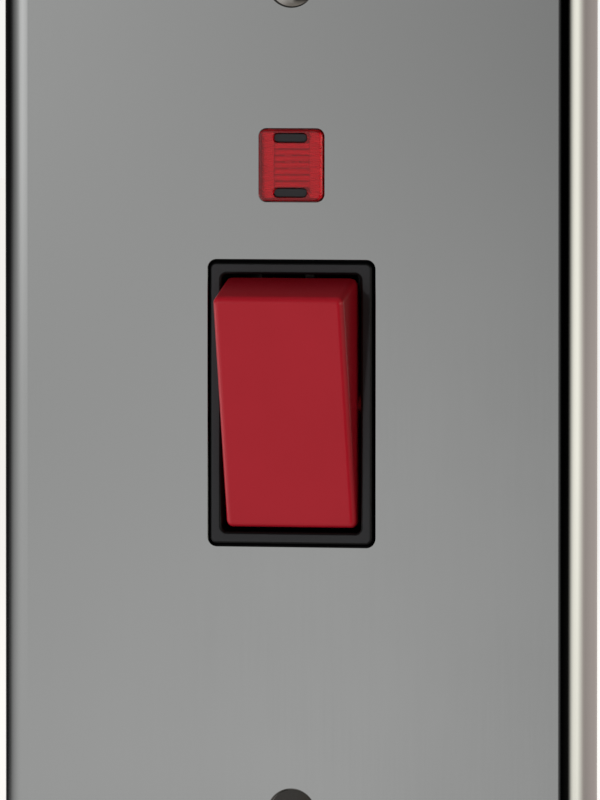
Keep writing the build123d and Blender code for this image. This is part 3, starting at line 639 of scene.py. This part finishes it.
trunnion_across, trunnion_out = np.array([
    (trunnion_root, 0),
    (trunnion_root, trunnion_radius),
    (trunnion_end - trunnion_ease, trunnion_radius),
    (trunnion_end, trunnion_radius - trunnion_ease),
    (trunnion_end, 0),
]).T[..., None]
turn = np.linspace(0, 2 * pi, trunnion_sides, endpoint=False)
trunnion = np.stack(
    np.broadcast_arrays(trunnion_across, trunnion_out * np.cos(turn), trunnion_out * np.sin(turn)), -1
)
rocker_flats = [
    (rocker_face, [shell[0, :, :2]]),
    (rocker_roof, [shell[-1, :, :2]] + [sleeve[0, :, :2] for sleeve in sleeves]),
] + [(rocker_roof, [sleeve[-1, :, :2]]) for sleeve in sleeves]
piece(
    "rocker_key", rocker_red, ["rocker"], [shell, *sleeves, trunnion, trunnion * (-1, 1, 1)],
    flats=rocker_flats, body="rocker", place=on_the_rocker,
)

# PLUNGERS AND SPRINGS
# Two white acetal plungers slide in the rocker's sleeves, each pressed out by a coiled spring, so their round
# noses run along the contact arms and flip them. A spring stands on its plunger and is pressed to the
# sleeve's roof.
coil_radius = 1.26
coil_wire = 0.44
coil_turns = 5.5
coil_foot = -0.73
coil_rise = 4.5478
coil_steps = 24
wire_sides = 10


def coiled_wire(across):
    """A circle of the wire's radius carried along a helix, which rises evenly as it turns. Each circle stands
    across the wire, between the helix's outward normal and its upward one, and a point closes each end."""
    turn = np.linspace(0, 2 * pi * coil_turns, int(coil_steps * coil_turns) + 1)[:, None]
    lean = np.arctan(coil_rise / (2 * pi * coil_turns * coil_radius))
    level = np.zeros_like(turn)
    outward = np.stack([np.cos(turn), np.sin(turn), level], -1)
    upward = np.stack([np.sin(lean) * np.sin(turn), -np.sin(lean) * np.cos(turn), level + np.cos(lean)], -1)
    climb = coil_foot + coil_rise * turn / turn[-1]
    middle = coil_radius * outward + np.stack([level + across, level, climb], -1)
    around = np.linspace(0, 2 * pi, wire_sides, endpoint=False)[:, None]
    tube = middle + coil_wire / 2 * (np.cos(around) * outward + np.sin(around) * upward)
    return np.concatenate([middle[:1] + 0 * tube[:1], tube, middle[-1:] + 0 * tube[:1]])


# Acetal, moulded: milky white and slightly waxy, with a faint mould texture.
acetal_grain = 0.3
acetal, tree, shader = finish(
    "acetal_moulded_white", IOR=1.48, Subsurface_Weight=0.1, Subsurface_Scale=0.5 * MM
)
place = add(tree, "TexCoord", {}).outputs["Object"]
grain = add(tree, "TexNoise", {"Vector": place, "Scale": 1 / (acetal_grain * MM), "Detail": 2.0})
tone = add(
    tree, "Mix", {"Factor": grain.outputs["Fac"], "A": linear("#E2DFD6"), "B": linear("#EFEDE6")},
    data_type="RGBA",
)
dull = add(tree, "MapRange", {"Value": grain.outputs["Fac"], "To Min": 0.28, "To Max": 0.42})
tree.links.new(tone.outputs["Result"], shader.inputs["Base Color"])
tree.links.new(dull.outputs["Result"], shader.inputs["Roughness"])
dressed(acetal, "left_plunger", "right_plunger")

# Spring steel, drawn: dark grey wire with fine marks of the die and a soft gloss.
wire_mark = 0.08
spring_wire, tree, shader = finish("spring_steel_drawn", Metallic=1.0)
place = add(tree, "TexCoord", {}).outputs["Object"]
marks = add(tree, "TexNoise", {"Vector": place, "Scale": 1 / (wire_mark * MM), "Detail": 2.0})
tone = add(
    tree, "Mix", {"Factor": marks.outputs["Fac"], "A": linear("#77787B"), "B": linear("#9C9DA0")},
    data_type="RGBA",
)
dull = add(tree, "MapRange", {"Value": marks.outputs["Fac"], "To Min": 0.25, "To Max": 0.42})
tree.links.new(tone.outputs["Result"], shader.inputs["Base Color"])
tree.links.new(dull.outputs["Result"], shader.inputs["Roughness"])
for side, across in zip(("left", "right"), sleeve_across):
    coil = piece(
        side + "_coil", spring_wire, [side + "_spring"], [coiled_wire(across)],
        body="rocker", place=on_the_rocker,
    )
    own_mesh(coil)

# CONTACTS
# A brass see-saw arm for each pole rocks on its feed terminal, with silver tips riveted to the arm and to the
# strap of the load terminal.

# Silver, pressed: warm white metal with grey tarnish in small patches.
silver_patch = 0.6
contact_silver, tree, shader = finish("silver_pressed", Metallic=1.0)
place = add(tree, "TexCoord", {}).outputs["Object"]
patch = add(tree, "TexNoise", {"Vector": place, "Scale": 1 / (silver_patch * MM), "Detail": 3.0})
tone = add(
    tree, "Mix", {"Factor": patch.outputs["Fac"], "A": linear("#E4E0D8"), "B": linear("#B5B0A8")},
    data_type="RGBA",
)
dull = add(tree, "MapRange", {"Value": patch.outputs["Fac"], "To Min": 0.2, "To Max": 0.4})
tree.links.new(tone.outputs["Result"], shader.inputs["Base Color"])
tree.links.new(dull.outputs["Result"], shader.inputs["Roughness"])
dressed(machined_brass, "left_contact_arm", "right_contact_arm")
dressed(contact_silver, "left_moving_tip", "right_moving_tip", "left_fixed_tip", "right_fixed_tip")

# TERMINALS
# Four milled brass blocks with a cable tunnel and a strap into the mechanism. Their zinc-plated clamping
# screws stand out of the back, backed off so that the tunnels are clear.
block_across = 13.5
block_up = 21.0
block_centres = [(x * block_across, switch_up + z * block_up) for x in (-1, 1) for z in (-1, 1)]
terminal_end = 22.4015
for side in ("left_feed", "right_feed", "left_load", "right_load"):
    softened(side + "_block", machined_brass, side + "_terminal", ease=0.2)
slotted_studs(
    "terminal_studs", "terminal_screws", block_centres, terminal_end, radius=2.5, pitch=0.8, length=6.5
)

# BASE AND COVER
# The body of the mechanism, compression moulded in black phenolic with pockets for the terminals, cored
# flanks and a lug at each side for the clamping screws. A flat cover of the same stuff closes the chambers
# from behind.

# Phenolic, compression moulded: brown-black and half glossy, with slow flow streaks.
flow_streak = (2.5, 2.5, 9.0)
base_phenolic, tree, shader = finish("phenolic_moulded", IOR=1.6)
place = add(tree, "TexCoord", {}).outputs["Object"]
streak = add(tree, "Mapping", {"Vector": place, "Scale": [1 / (size * MM) for size in flow_streak]})
flow = add(
    tree, "TexNoise", {"Vector": streak.outputs["Vector"], "Scale": 1.0, "Detail": 4.0, "Distortion": 0.6}
)
tone = add(
    tree, "Mix", {"Factor": flow.outputs["Fac"], "A": linear("#1F1C1A"), "B": linear("#2D2926")},
    data_type="RGBA",
)
gloss = add(
    tree, "MapRange",
    {"Value": flow.outputs["Fac"], "From Min": 0.3, "From Max": 0.7, "To Min": 0.28, "To Max": 0.44},
)
swell = add(tree, "Bump", {"Height": flow.outputs["Fac"], "Strength": 0.1, "Distance": 0.05 * MM})
tree.links.new(tone.outputs["Result"], shader.inputs["Base Color"])
tree.links.new(gloss.outputs["Result"], shader.inputs["Roughness"])
tree.links.new(swell.outputs["Normal"], shader.inputs["Normal"])
softened("base", base_phenolic, "switch_base", ease=0.25)
softened("cover", base_phenolic, "base_cover", ease=0.25)

# CLAMPING AND COVER SCREWS
# Slotted pan-head screws of zinc-plated steel: four through the lugs into the plate's pillars, and two that
# hold the cover to the base.
pan_head = (2.8, 2.0, 1.0)
pan_foot = 0.1
pan_shank = 1.2
clamp_across = 23.25
clamp_up = 14.0
clamp_centres = [(x * clamp_across, switch_up + z * clamp_up) for x in (-1, 1) for z in (-1, 1)]
clamp_seat = 3.6
clamp_thread = (1.5, 0.5, -2.8)
clamp_tip = (1.0, -3.0)
cover_up = 22.7
cover_centres = [(0, switch_up + z * cover_up) for z in (-1, 1)]
cover_seat = 15.0333
cover_thread = (1.5, 0.5, 8.1)
cover_tip = (1.0, 7.8333)


def pan_screws(name, node, centres, seat, head, shank, thread, tip):
    """Slotted screws with a pan head, given as radius, height and cut: from the slot's edge over a rounded
    rim to the slot's floor, half way down, then round an eased foot and in along the seat to the shank. The
    thread is given as radius, pitch and end."""
    radius, height, cut = head
    top, rim = seat + height, height / 4
    slotted_screws(
        name, zinc_steel, node, centres,
        [(cut / 2, top)] + arc((radius - rim, top - rim), rim, 90, 0, steps=5) + [(radius, (top + seat) / 2)],
        cut, [(radius, seat + pan_foot), (radius - pan_foot, seat), (shank, seat)],
        (*thread[:2], seat - run_in, thread[2]), tip,
    )


pan_screws(
    "clamp_set", "clamp_screws", clamp_centres, clamp_seat, pan_head, pan_shank, clamp_thread, clamp_tip
)
pan_screws(
    "cover_set", "cover_screws", cover_centres, cover_seat, pan_head, pan_shank, cover_thread, cover_tip
)

# NEON LENS
# A red window moulded in clear acrylic. Prisms across its inner face throw daylight back and spread the
# lamp's glow, and two slots let the holder's black tongues through to hold it against the plate.
lens_size = (9.6, 10.45, 1.05)
lens_front = 5.8
lens_roof = 4.4
lens_back = 2.8
lens_round = 0.35
lens_strip = 0.005
lens_wall = 0.3
lens_flange = 0.75
lens_slot = (5.2, 1.4, 0.7)
lens_slot_ease = 0.03
lens_slot_up = 3.975
flute_half = 2.65
flute_pitch = 0.93
flute_count = 7
flute_land = 0.24
side_flutes = (2.67, 4.47)
side_pitch = 0.25
side_count = 38

# Acrylic, tinted red, moulded: deep, glossy and clear but for a faint haze, with slow changes of tint.
acrylic_patch = 2.0
red_acrylic, tree, shader = finish("acrylic_moulded_red", IOR=1.49, Transmission_Weight=0.78)
place = add(tree, "TexCoord", {}).outputs["Object"]
patch = add(tree, "TexNoise", {"Vector": place, "Scale": 1 / (acrylic_patch * MM), "Detail": 2.0})
tone = add(
    tree, "Mix", {"Factor": patch.outputs["Fac"], "A": linear("#F01424"), "B": linear("#F8192C")},
    data_type="RGBA",
)
gloss = add(tree, "MapRange", {"Value": patch.outputs["Fac"], "To Min": 0.03, "To Max": 0.09})
tree.links.new(tone.outputs["Result"], shader.inputs["Base Color"])
tree.links.new(gloss.outputs["Result"], shader.inputs["Roughness"])

lens_profile = (
    [(lens_round + lens_strip, lens_front)]
    + arc((lens_round, lens_front - lens_round), lens_round, 90, 180, steps=6)
    + [(0, plate_back), (-lens_flange, plate_back), (-lens_flange, lens_back), (lens_wall, lens_back)]
    + [(lens_wall, lens_roof)]
)
lens_shell = carried(*lens_size, lens_profile, up=neon_up)
slot_profile = [(-lens_slot_ease, lens_front), (0, lens_front - lens_slot_ease), (0, lens_roof)]
lens_slots = [carried(*lens_slot, slot_profile, up=neon_up + side * lens_slot_up) for side in (1, -1)]


def prisms(left, right, pitch, count, land):
    """A row of square-edged prisms under the lens's roof: a triangle wave of height over the way up, with
    flat lands between them. Gives the waved face, its two ends and the outline that it leaves in the roof."""
    rise = (pitch - land) / 2
    middle = (np.arange(count)[:, None] - (count - 1) / 2) * pitch + neon_up
    up = (middle + np.array([-rise, 0, rise])).reshape(-1, 1)
    out = lens_roof - np.tile([0, rise, 0], count)[:, None]
    wave = np.stack(np.broadcast_arrays(np.array([left, right]), up, out), -1)
    ends = [np.stack([wave[:, side], wave[:, side] * (1, 1, 0) + (0, 0, lens_roof)]) for side in (0, 1)]
    return [wave, *ends], np.concatenate([wave[:, 1, :2], wave[::-1, 0, :2]])


flutes = [
    prisms(-flute_half, flute_half, flute_pitch, flute_count, flute_land),
    prisms(*side_flutes, side_pitch, side_count, land=0.0),
    prisms(-side_flutes[1], -side_flutes[0], side_pitch, side_count, land=0.0),
]
lens_flats = [
    (lens_front, [grid[0, :, :2] for grid in (lens_shell, *lens_slots)]),
    (lens_roof, [grid[-1, :, :2] for grid in (lens_shell, *lens_slots)] + [foot for _, foot in flutes]),
]
piece(
    "red_lens", red_acrylic, ["neon_lens"], [lens_shell, *lens_slots],
    [sheet for sheets, _ in flutes for sheet in sheets], lens_flats,
)

# NEON HOLDER AND LAMP
# A black box behind the lens, screwed to the carrier by its ears, with a small glow lamp lying across it and
# a ballast resistor behind the lamp. A flat cover closes it, with a hole for each lead.
softened("lamp_holder", bezel_urea, "neon_holder", ease=0.12)
softened("lamp_cover", base_phenolic, "neon_cover", ease=0.2)

# Soda glass, blown: clear, with slight ripples that dull it in places.
glass_ripple = 1.5
lamp_glass, tree, shader = finish(
    "soda_glass_blown", Base_Color=linear("#F4F6F4"), IOR=1.51, Transmission_Weight=1.0
)
place = add(tree, "TexCoord", {}).outputs["Object"]
ripple = add(tree, "TexNoise", {"Vector": place, "Scale": 1 / (glass_ripple * MM), "Detail": 1.0})
clear = add(tree, "MapRange", {"Value": ripple.outputs["Fac"], "To Max": 0.06})
tree.links.new(clear.outputs["Result"], shader.inputs["Roughness"])
dressed(lamp_glass, "neon_lamp")
dressed(zinc_steel, "neon_electrodes")

# Lacquer on a ceramic rod: sandy, with the colour rings of a ballast resistor round it.
resistor_half = 3.0
ring_tones = [
    (0.0, "#C8A97C"), (0.18, "#7A3B1E"), (0.26, "#C8A97C"), (0.36, "#2A1C14"), (0.44, "#C8A97C"),
    (0.54, "#D8B21E"), (0.62, "#C8A97C"), (0.78, "#B08D3A"), (0.86, "#C8A97C"),
]
resistor_lacquer, tree, shader = finish("lacquer_dipped_sand", Roughness=0.35)
way = add(tree, "SeparateXYZ", {"Vector": add(tree, "TexCoord", {}).outputs["Object"]})
share = add(
    tree, "MapRange",
    {"Value": way.outputs["X"], "From Min": -resistor_half * MM, "From Max": resistor_half * MM},
)
rings = add(tree, "ValToRGB", {"Fac": share.outputs["Result"]})
rings.color_ramp.interpolation = "CONSTANT"
while len(rings.color_ramp.elements) < len(ring_tones):
    rings.color_ramp.elements.new(1.0)
for stop, (position, tint) in zip(rings.color_ramp.elements, ring_tones):
    stop.position = position
    stop.color = linear(tint)
tree.links.new(rings.outputs["Color"], shader.inputs["Base Color"])
dressed(resistor_lacquer, "neon_resistor")

ear_across = 7.75
ear_centres = [(x * ear_across, neon_up) for x in (-1, 1)]
ear_seat = 0.0
ear_head = (1.7, 1.1, 0.55)
ear_shank = 0.8
ear_thread = (1.0, 0.4, -3.5)
ear_tip = (0.6, -3.7)
pan_screws("ear_set", "neon_screws", ear_centres, ear_seat, ear_head, ear_shank, ear_thread, ear_tip)

# NEON LEADS
# Two thin stranded wires in white insulation, from the back of the neon to the load terminals. They are held
# at both ends inside the accessory.

# PVC, extruded: off-white and softly glossy, with slow waves along it.
sleeve_wave = 1.2
lead_pvc, tree, shader = finish("pvc_extruded_white")
place = add(tree, "TexCoord", {}).outputs["Object"]
wave = add(tree, "TexNoise", {"Vector": place, "Scale": 1 / (sleeve_wave * MM), "Detail": 2.0})
tone = add(
    tree, "Mix", {"Factor": wave.outputs["Fac"], "A": linear("#DCD8CC"), "B": linear("#EAE7DE")},
    data_type="RGBA",
)
dull = add(tree, "MapRange", {"Value": wave.outputs["Fac"], "To Min": 0.36, "To Max": 0.5})
tree.links.new(tone.outputs["Result"], shader.inputs["Base Color"])
tree.links.new(dull.outputs["Result"], shader.inputs["Roughness"])
dressed(lead_pvc, "left_neon_lead", "right_neon_lead")

# WALL SCREWS
# Two raised countersunk steel screws, slotted and plated to match the plate, with a rolled thread into the
# wall box. They go in last, through the dished holes, and hold the whole accessory.
screw_top = 5.75
screw_rim = 4.85
screw_head = 3.5
screw_slot = 1.0
screw_cut = 1.1
screw_floor = screw_top - screw_cut
screw_neck = 1.5
screw_ease = 0.12
screw_thread = (1.75, 0.6, 0.0, -19.5)
screw_tip = (1.2, -20.0)
dome_steps = 12

# Black nickel on turned steel: a dark mirror, a little broken up by the fine marks of turning and by wear.
turning_mark = 0.15
screw_nickel, tree, shader = finish("black_nickel_turned", Metallic=1.0)
place = add(tree, "TexCoord", {}).outputs["Object"]
patch = add(tree, "TexNoise", {"Vector": place, "Scale": 1 / (turning_mark * MM), "Detail": 3.0})
tone = add(
    tree, "Mix", {"Factor": patch.outputs["Fac"], "A": linear("#8E8A86"), "B": linear("#B5B1AB")},
    data_type="RGBA",
)
dull = add(
    tree, "MapRange",
    {"Value": patch.outputs["Fac"], "From Min": 0.3, "From Max": 0.7, "To Min": 0.06, "To Max": 0.12},
)
tree.links.new(tone.outputs["Result"], shader.inputs["Base Color"])
tree.links.new(dull.outputs["Result"], shader.inputs["Roughness"])

dome_height = screw_top - screw_rim
dome_radius = (screw_head**2 + dome_height**2) / (2 * dome_height)
dome_across = np.linspace(screw_slot / 2, screw_head - screw_ease, dome_steps)
dome = list(zip(dome_across, screw_top - dome_radius + np.sqrt(dome_radius**2 - dome_across**2)))
screw_profile = dome + [(screw_head, screw_rim), (screw_head - screw_rim + screw_floor, screw_floor)]
slotted_screws(
    "wall_screws", screw_nickel, "fixing_screws", [(0, up) for up in fixing_ups],
    screw_profile, screw_slot, [(screw_neck, screw_rim - screw_head + screw_neck), (screw_neck, run_in)],
    screw_thread, screw_tip, place=from_the_front,
)

# STAGE
# A plain pale floor under the plate's lower edge and a light tent round it. A small key light stands in front
# on the left, with weak soft ones at both sides and a strong soft one behind.
floor_half = 6.0
floor_gap = 0.2
floor_drop = cad_box[0].z - floor_gap * MM
floor_grey = "#6E6C69"
mesh = bpy.data.meshes.new("floor")
floor_corners = np.array([(-1, -1), (1, -1), (1, 1), (-1, 1)]) * floor_half
mesh.from_pydata([(x, y, floor_drop) for x, y in floor_corners], [], [(0, 1, 2, 3)])
floor = bpy.data.objects.new("floor", mesh)
bpy.context.scene.collection.objects.link(floor)
floor.visible_glossy = False
floor.visible_diffuse = False

# Paint, rolled: pale and plain, with a glow of its own so that it has no hard shadow.
pale, tree, shader = finish(
    "paint_rolled_pale", Base_Color=linear(floor_grey), Roughness=0.7,
    Emission_Color=linear("#F4F2EE"), Emission_Strength=0.85,
)
mesh.materials.append(pale)

# The tent's brightness by bearing round the object, in degrees from straight out in front and positive to the
# right. The levels are for eye height, two steps a little below it, well below it and overhead.
tent = [
    (-180, "#F4EFEA", 0.80, 0.80, 0.80, 0.60, 1.00), (-150, "#F4EFEA", 0.70, 0.70, 0.70, 0.50, 1.00),
    (-140, "#FFFFFF", 0.02, 0.02, 0.02, 0.20, 0.80), (-115, "#FFFFFF", 0.01, 0.01, 0.02, 2.00, 0.30),
    (-98, "#FFFFFF", 0.01, 0.04, 0.12, 2.40, 0.11), (-86, "#FFFFFF", 0.05, 0.19, 0.34, 1.70, 0.11),
    (-75, "#FFFFFF", 0.20, 0.38, 0.50, 1.05, 0.11), (-64, "#FFFFFF", 0.37, 0.50, 0.61, 0.85, 0.11),
    (-55, "#FFFFFF", 0.62, 0.63, 0.68, 0.80, 0.11), (-46, "#FFFFFF", 1.05, 0.72, 0.71, 0.80, 0.11),
    (-38, "#FFFFFF", 1.18, 0.74, 0.71, 0.75, 0.11), (-30, "#FFFFFF", 1.11, 0.72, 0.71, 0.62, 0.11),
    (-22, "#FFFFFF", 1.00, 0.73, 0.71, 0.62, 0.11), (-16.8, "#FFFFFF", 0.72, 0.63, 0.72, 0.56, 0.11),
    (-15.6, "#FFFFFF", 0.58, 0.71, 0.78, 0.50, 0.11), (-14.2, "#FFFFFF", 0.46, 0.61, 0.68, 0.40, 0.11),
    (-12.5, "#FFFFFF", 0.17, 0.25, 0.28, 0.25, 0.11), (-8, "#FFFFFF", 0.03, 0.04, 0.04, 0.12, 0.11),
    (-3, "#FFFFFF", 0.00, 0.00, 0.00, 0.00, 0.11), (22, "#F4F1E6", 0.00, 0.00, 0.01, 0.00, 0.11),
    (27, "#F4F1E6", 0.06, 0.12, 0.22, 0.02, 0.11), (34, "#F4F1E6", 0.90, 1.00, 1.28, 0.10, 0.11),
    (41, "#F4F1E6", 1.75, 1.85, 1.85, 0.20, 0.11), (49, "#F4F1E6", 2.07, 2.16, 1.98, 0.25, 0.11),
    (57, "#F4F1E6", 2.08, 2.26, 2.04, 0.30, 0.11), (65, "#F4F1E6", 1.59, 1.84, 1.57, 0.30, 0.11),
    (73, "#F1EAE0", 1.16, 1.42, 1.18, 0.30, 0.11), (81, "#ECE0D8", 0.81, 1.01, 0.83, 0.25, 0.11),
    (90, "#E8DAD4", 0.70, 0.83, 0.80, 0.20, 0.11), (120, "#E8DAD4", 0.84, 0.95, 0.92, 0.20, 0.50),
    (165, "#E8DAD4", 0.84, 0.92, 0.90, 0.50, 1.00), (180, "#F4EFEA", 0.80, 0.80, 0.80, 0.60, 1.00),
]
tent_levels = 5
tent_peak = 2.4
# Each blend names a level and the two heights between which it takes over, where 0 is level with the object
# and 1 is overhead. The last one is the floor's own grey.
tent_blends = [
    (1, -0.008, -0.035, "LINEAR"),
    (2, -0.035, -0.062, "LINEAR"),
    (4, 0.12, 0.4, "SMOOTHSTEP"),
    (3, -0.07, -0.16, "SMOOTHSTEP"),
    (5, -0.6, -0.8, "SMOOTHSTEP"),
]
world = bpy.data.worlds.new("light_tent")
bpy.context.scene.world = world
world.use_nodes = True
tree = world.node_tree
tree.nodes.clear()
way = add(tree, "SeparateXYZ", {"Vector": add(tree, "TexCoord", {}).outputs["Generated"]})
ahead = add(tree, "Math", {0: way.outputs["Y"], 1: -1.0}, operation="MULTIPLY")
bearing = add(tree, "Math", {0: way.outputs["X"], 1: ahead.outputs[0]}, operation="ARCTAN2")
turn = add(tree, "MapRange", {"Value": bearing.outputs[0], "From Min": -pi, "From Max": pi})
panels = []
for level in range(tent_levels):
    ramp = add(tree, "ValToRGB", {"Fac": turn.outputs["Result"]})
    stops = ramp.color_ramp.elements
    while len(stops) < len(tent):
        stops.new(1.0)
    for stop, (degrees, tint, *brightness) in zip(stops, tent):
        stop.position = (degrees + 180) / 360
        stop.color = [channel * brightness[level] / tent_peak for channel in linear(tint)[:3]] + [1.0]
    panels.append(ramp.outputs["Color"])
panels.append(linear(floor_grey))
light = panels[0]
for level, near, far, fade in tent_blends:
    share = add(
        tree, "MapRange", {"Value": way.outputs["Z"], "From Min": near, "From Max": far},
        interpolation_type=fade,
    )
    mixed = add(
        tree, "Mix", {"Factor": share.outputs["Result"], "A": light, "B": panels[level]}, data_type="RGBA"
    )
    light = mixed.outputs["Result"]
lit = add(tree, "Background", {"Color": light, "Strength": tent_peak})
seen = add(tree, "Background", {"Color": linear("#F6F5F2"), "Strength": 1.0})
camera_ray = add(tree, "LightPath", {}).outputs["Is Camera Ray"]
either = add(tree, "MixShader", {0: camera_ray, 1: lit.outputs[0], 2: seen.outputs[0]})
add(tree, "OutputWorld", {"Surface": either.outputs[0]})

lamp_distance = 0.9


def lamp(name, bearing, rise, size, energy):
    """A square light aimed at the object from a bearing and a rise in degrees, unseen in mirror or glass."""
    turn, lift = radians(bearing), radians(rise)
    data = bpy.data.lights.new(name, "AREA")
    data.size = size
    data.energy = energy
    light = bpy.data.objects.new(name, data)
    light.location = np.array([sin(turn) * cos(lift), -cos(turn) * cos(lift), sin(lift)]) * lamp_distance
    light.rotation_euler = light.location.to_track_quat("Z", "Y").to_euler()
    light.visible_camera = False
    light.visible_glossy = False
    light.visible_transmission = False
    bpy.context.scene.collection.objects.link(light)


lamp("key", bearing=-18.5, rise=0, size=0.06, energy=2.6)
lamp("left", bearing=-75, rise=0, size=0.3, energy=1.0)
lamp("right", bearing=50, rise=-5, size=0.3, energy=0.2)
lamp("back", bearing=155, rise=35, size=0.5, energy=8.0)

# CAMERA
# A long lens to the right of the plate and a little above it, near enough to leave the ends of the plate out
# of the picture.
view_turn = radians(15.5)
view_rise = radians(2.0)
view_distance = 1.8
view_height = 0.1163
aim = np.array([-0.00009, -0.00006, -0.00038])
back = np.array([sin(view_turn) * cos(view_rise), -cos(view_turn) * cos(view_rise), sin(view_rise)])
camera_data = bpy.data.cameras.new("camera")
camera_data.sensor_width = 36.0
camera_data.lens = camera_data.sensor_width * view_distance / view_height
camera_data.clip_end = 20.0
camera = bpy.data.objects.new("camera", camera_data)
camera.location = aim + back * view_distance
camera.rotation_euler = (camera.location - Vector(aim)).to_track_quat("Z", "Y").to_euler()
bpy.context.scene.collection.objects.link(camera)
bpy.context.scene.camera = camera
bpy.context.scene.view_settings.view_transform = "Standard"
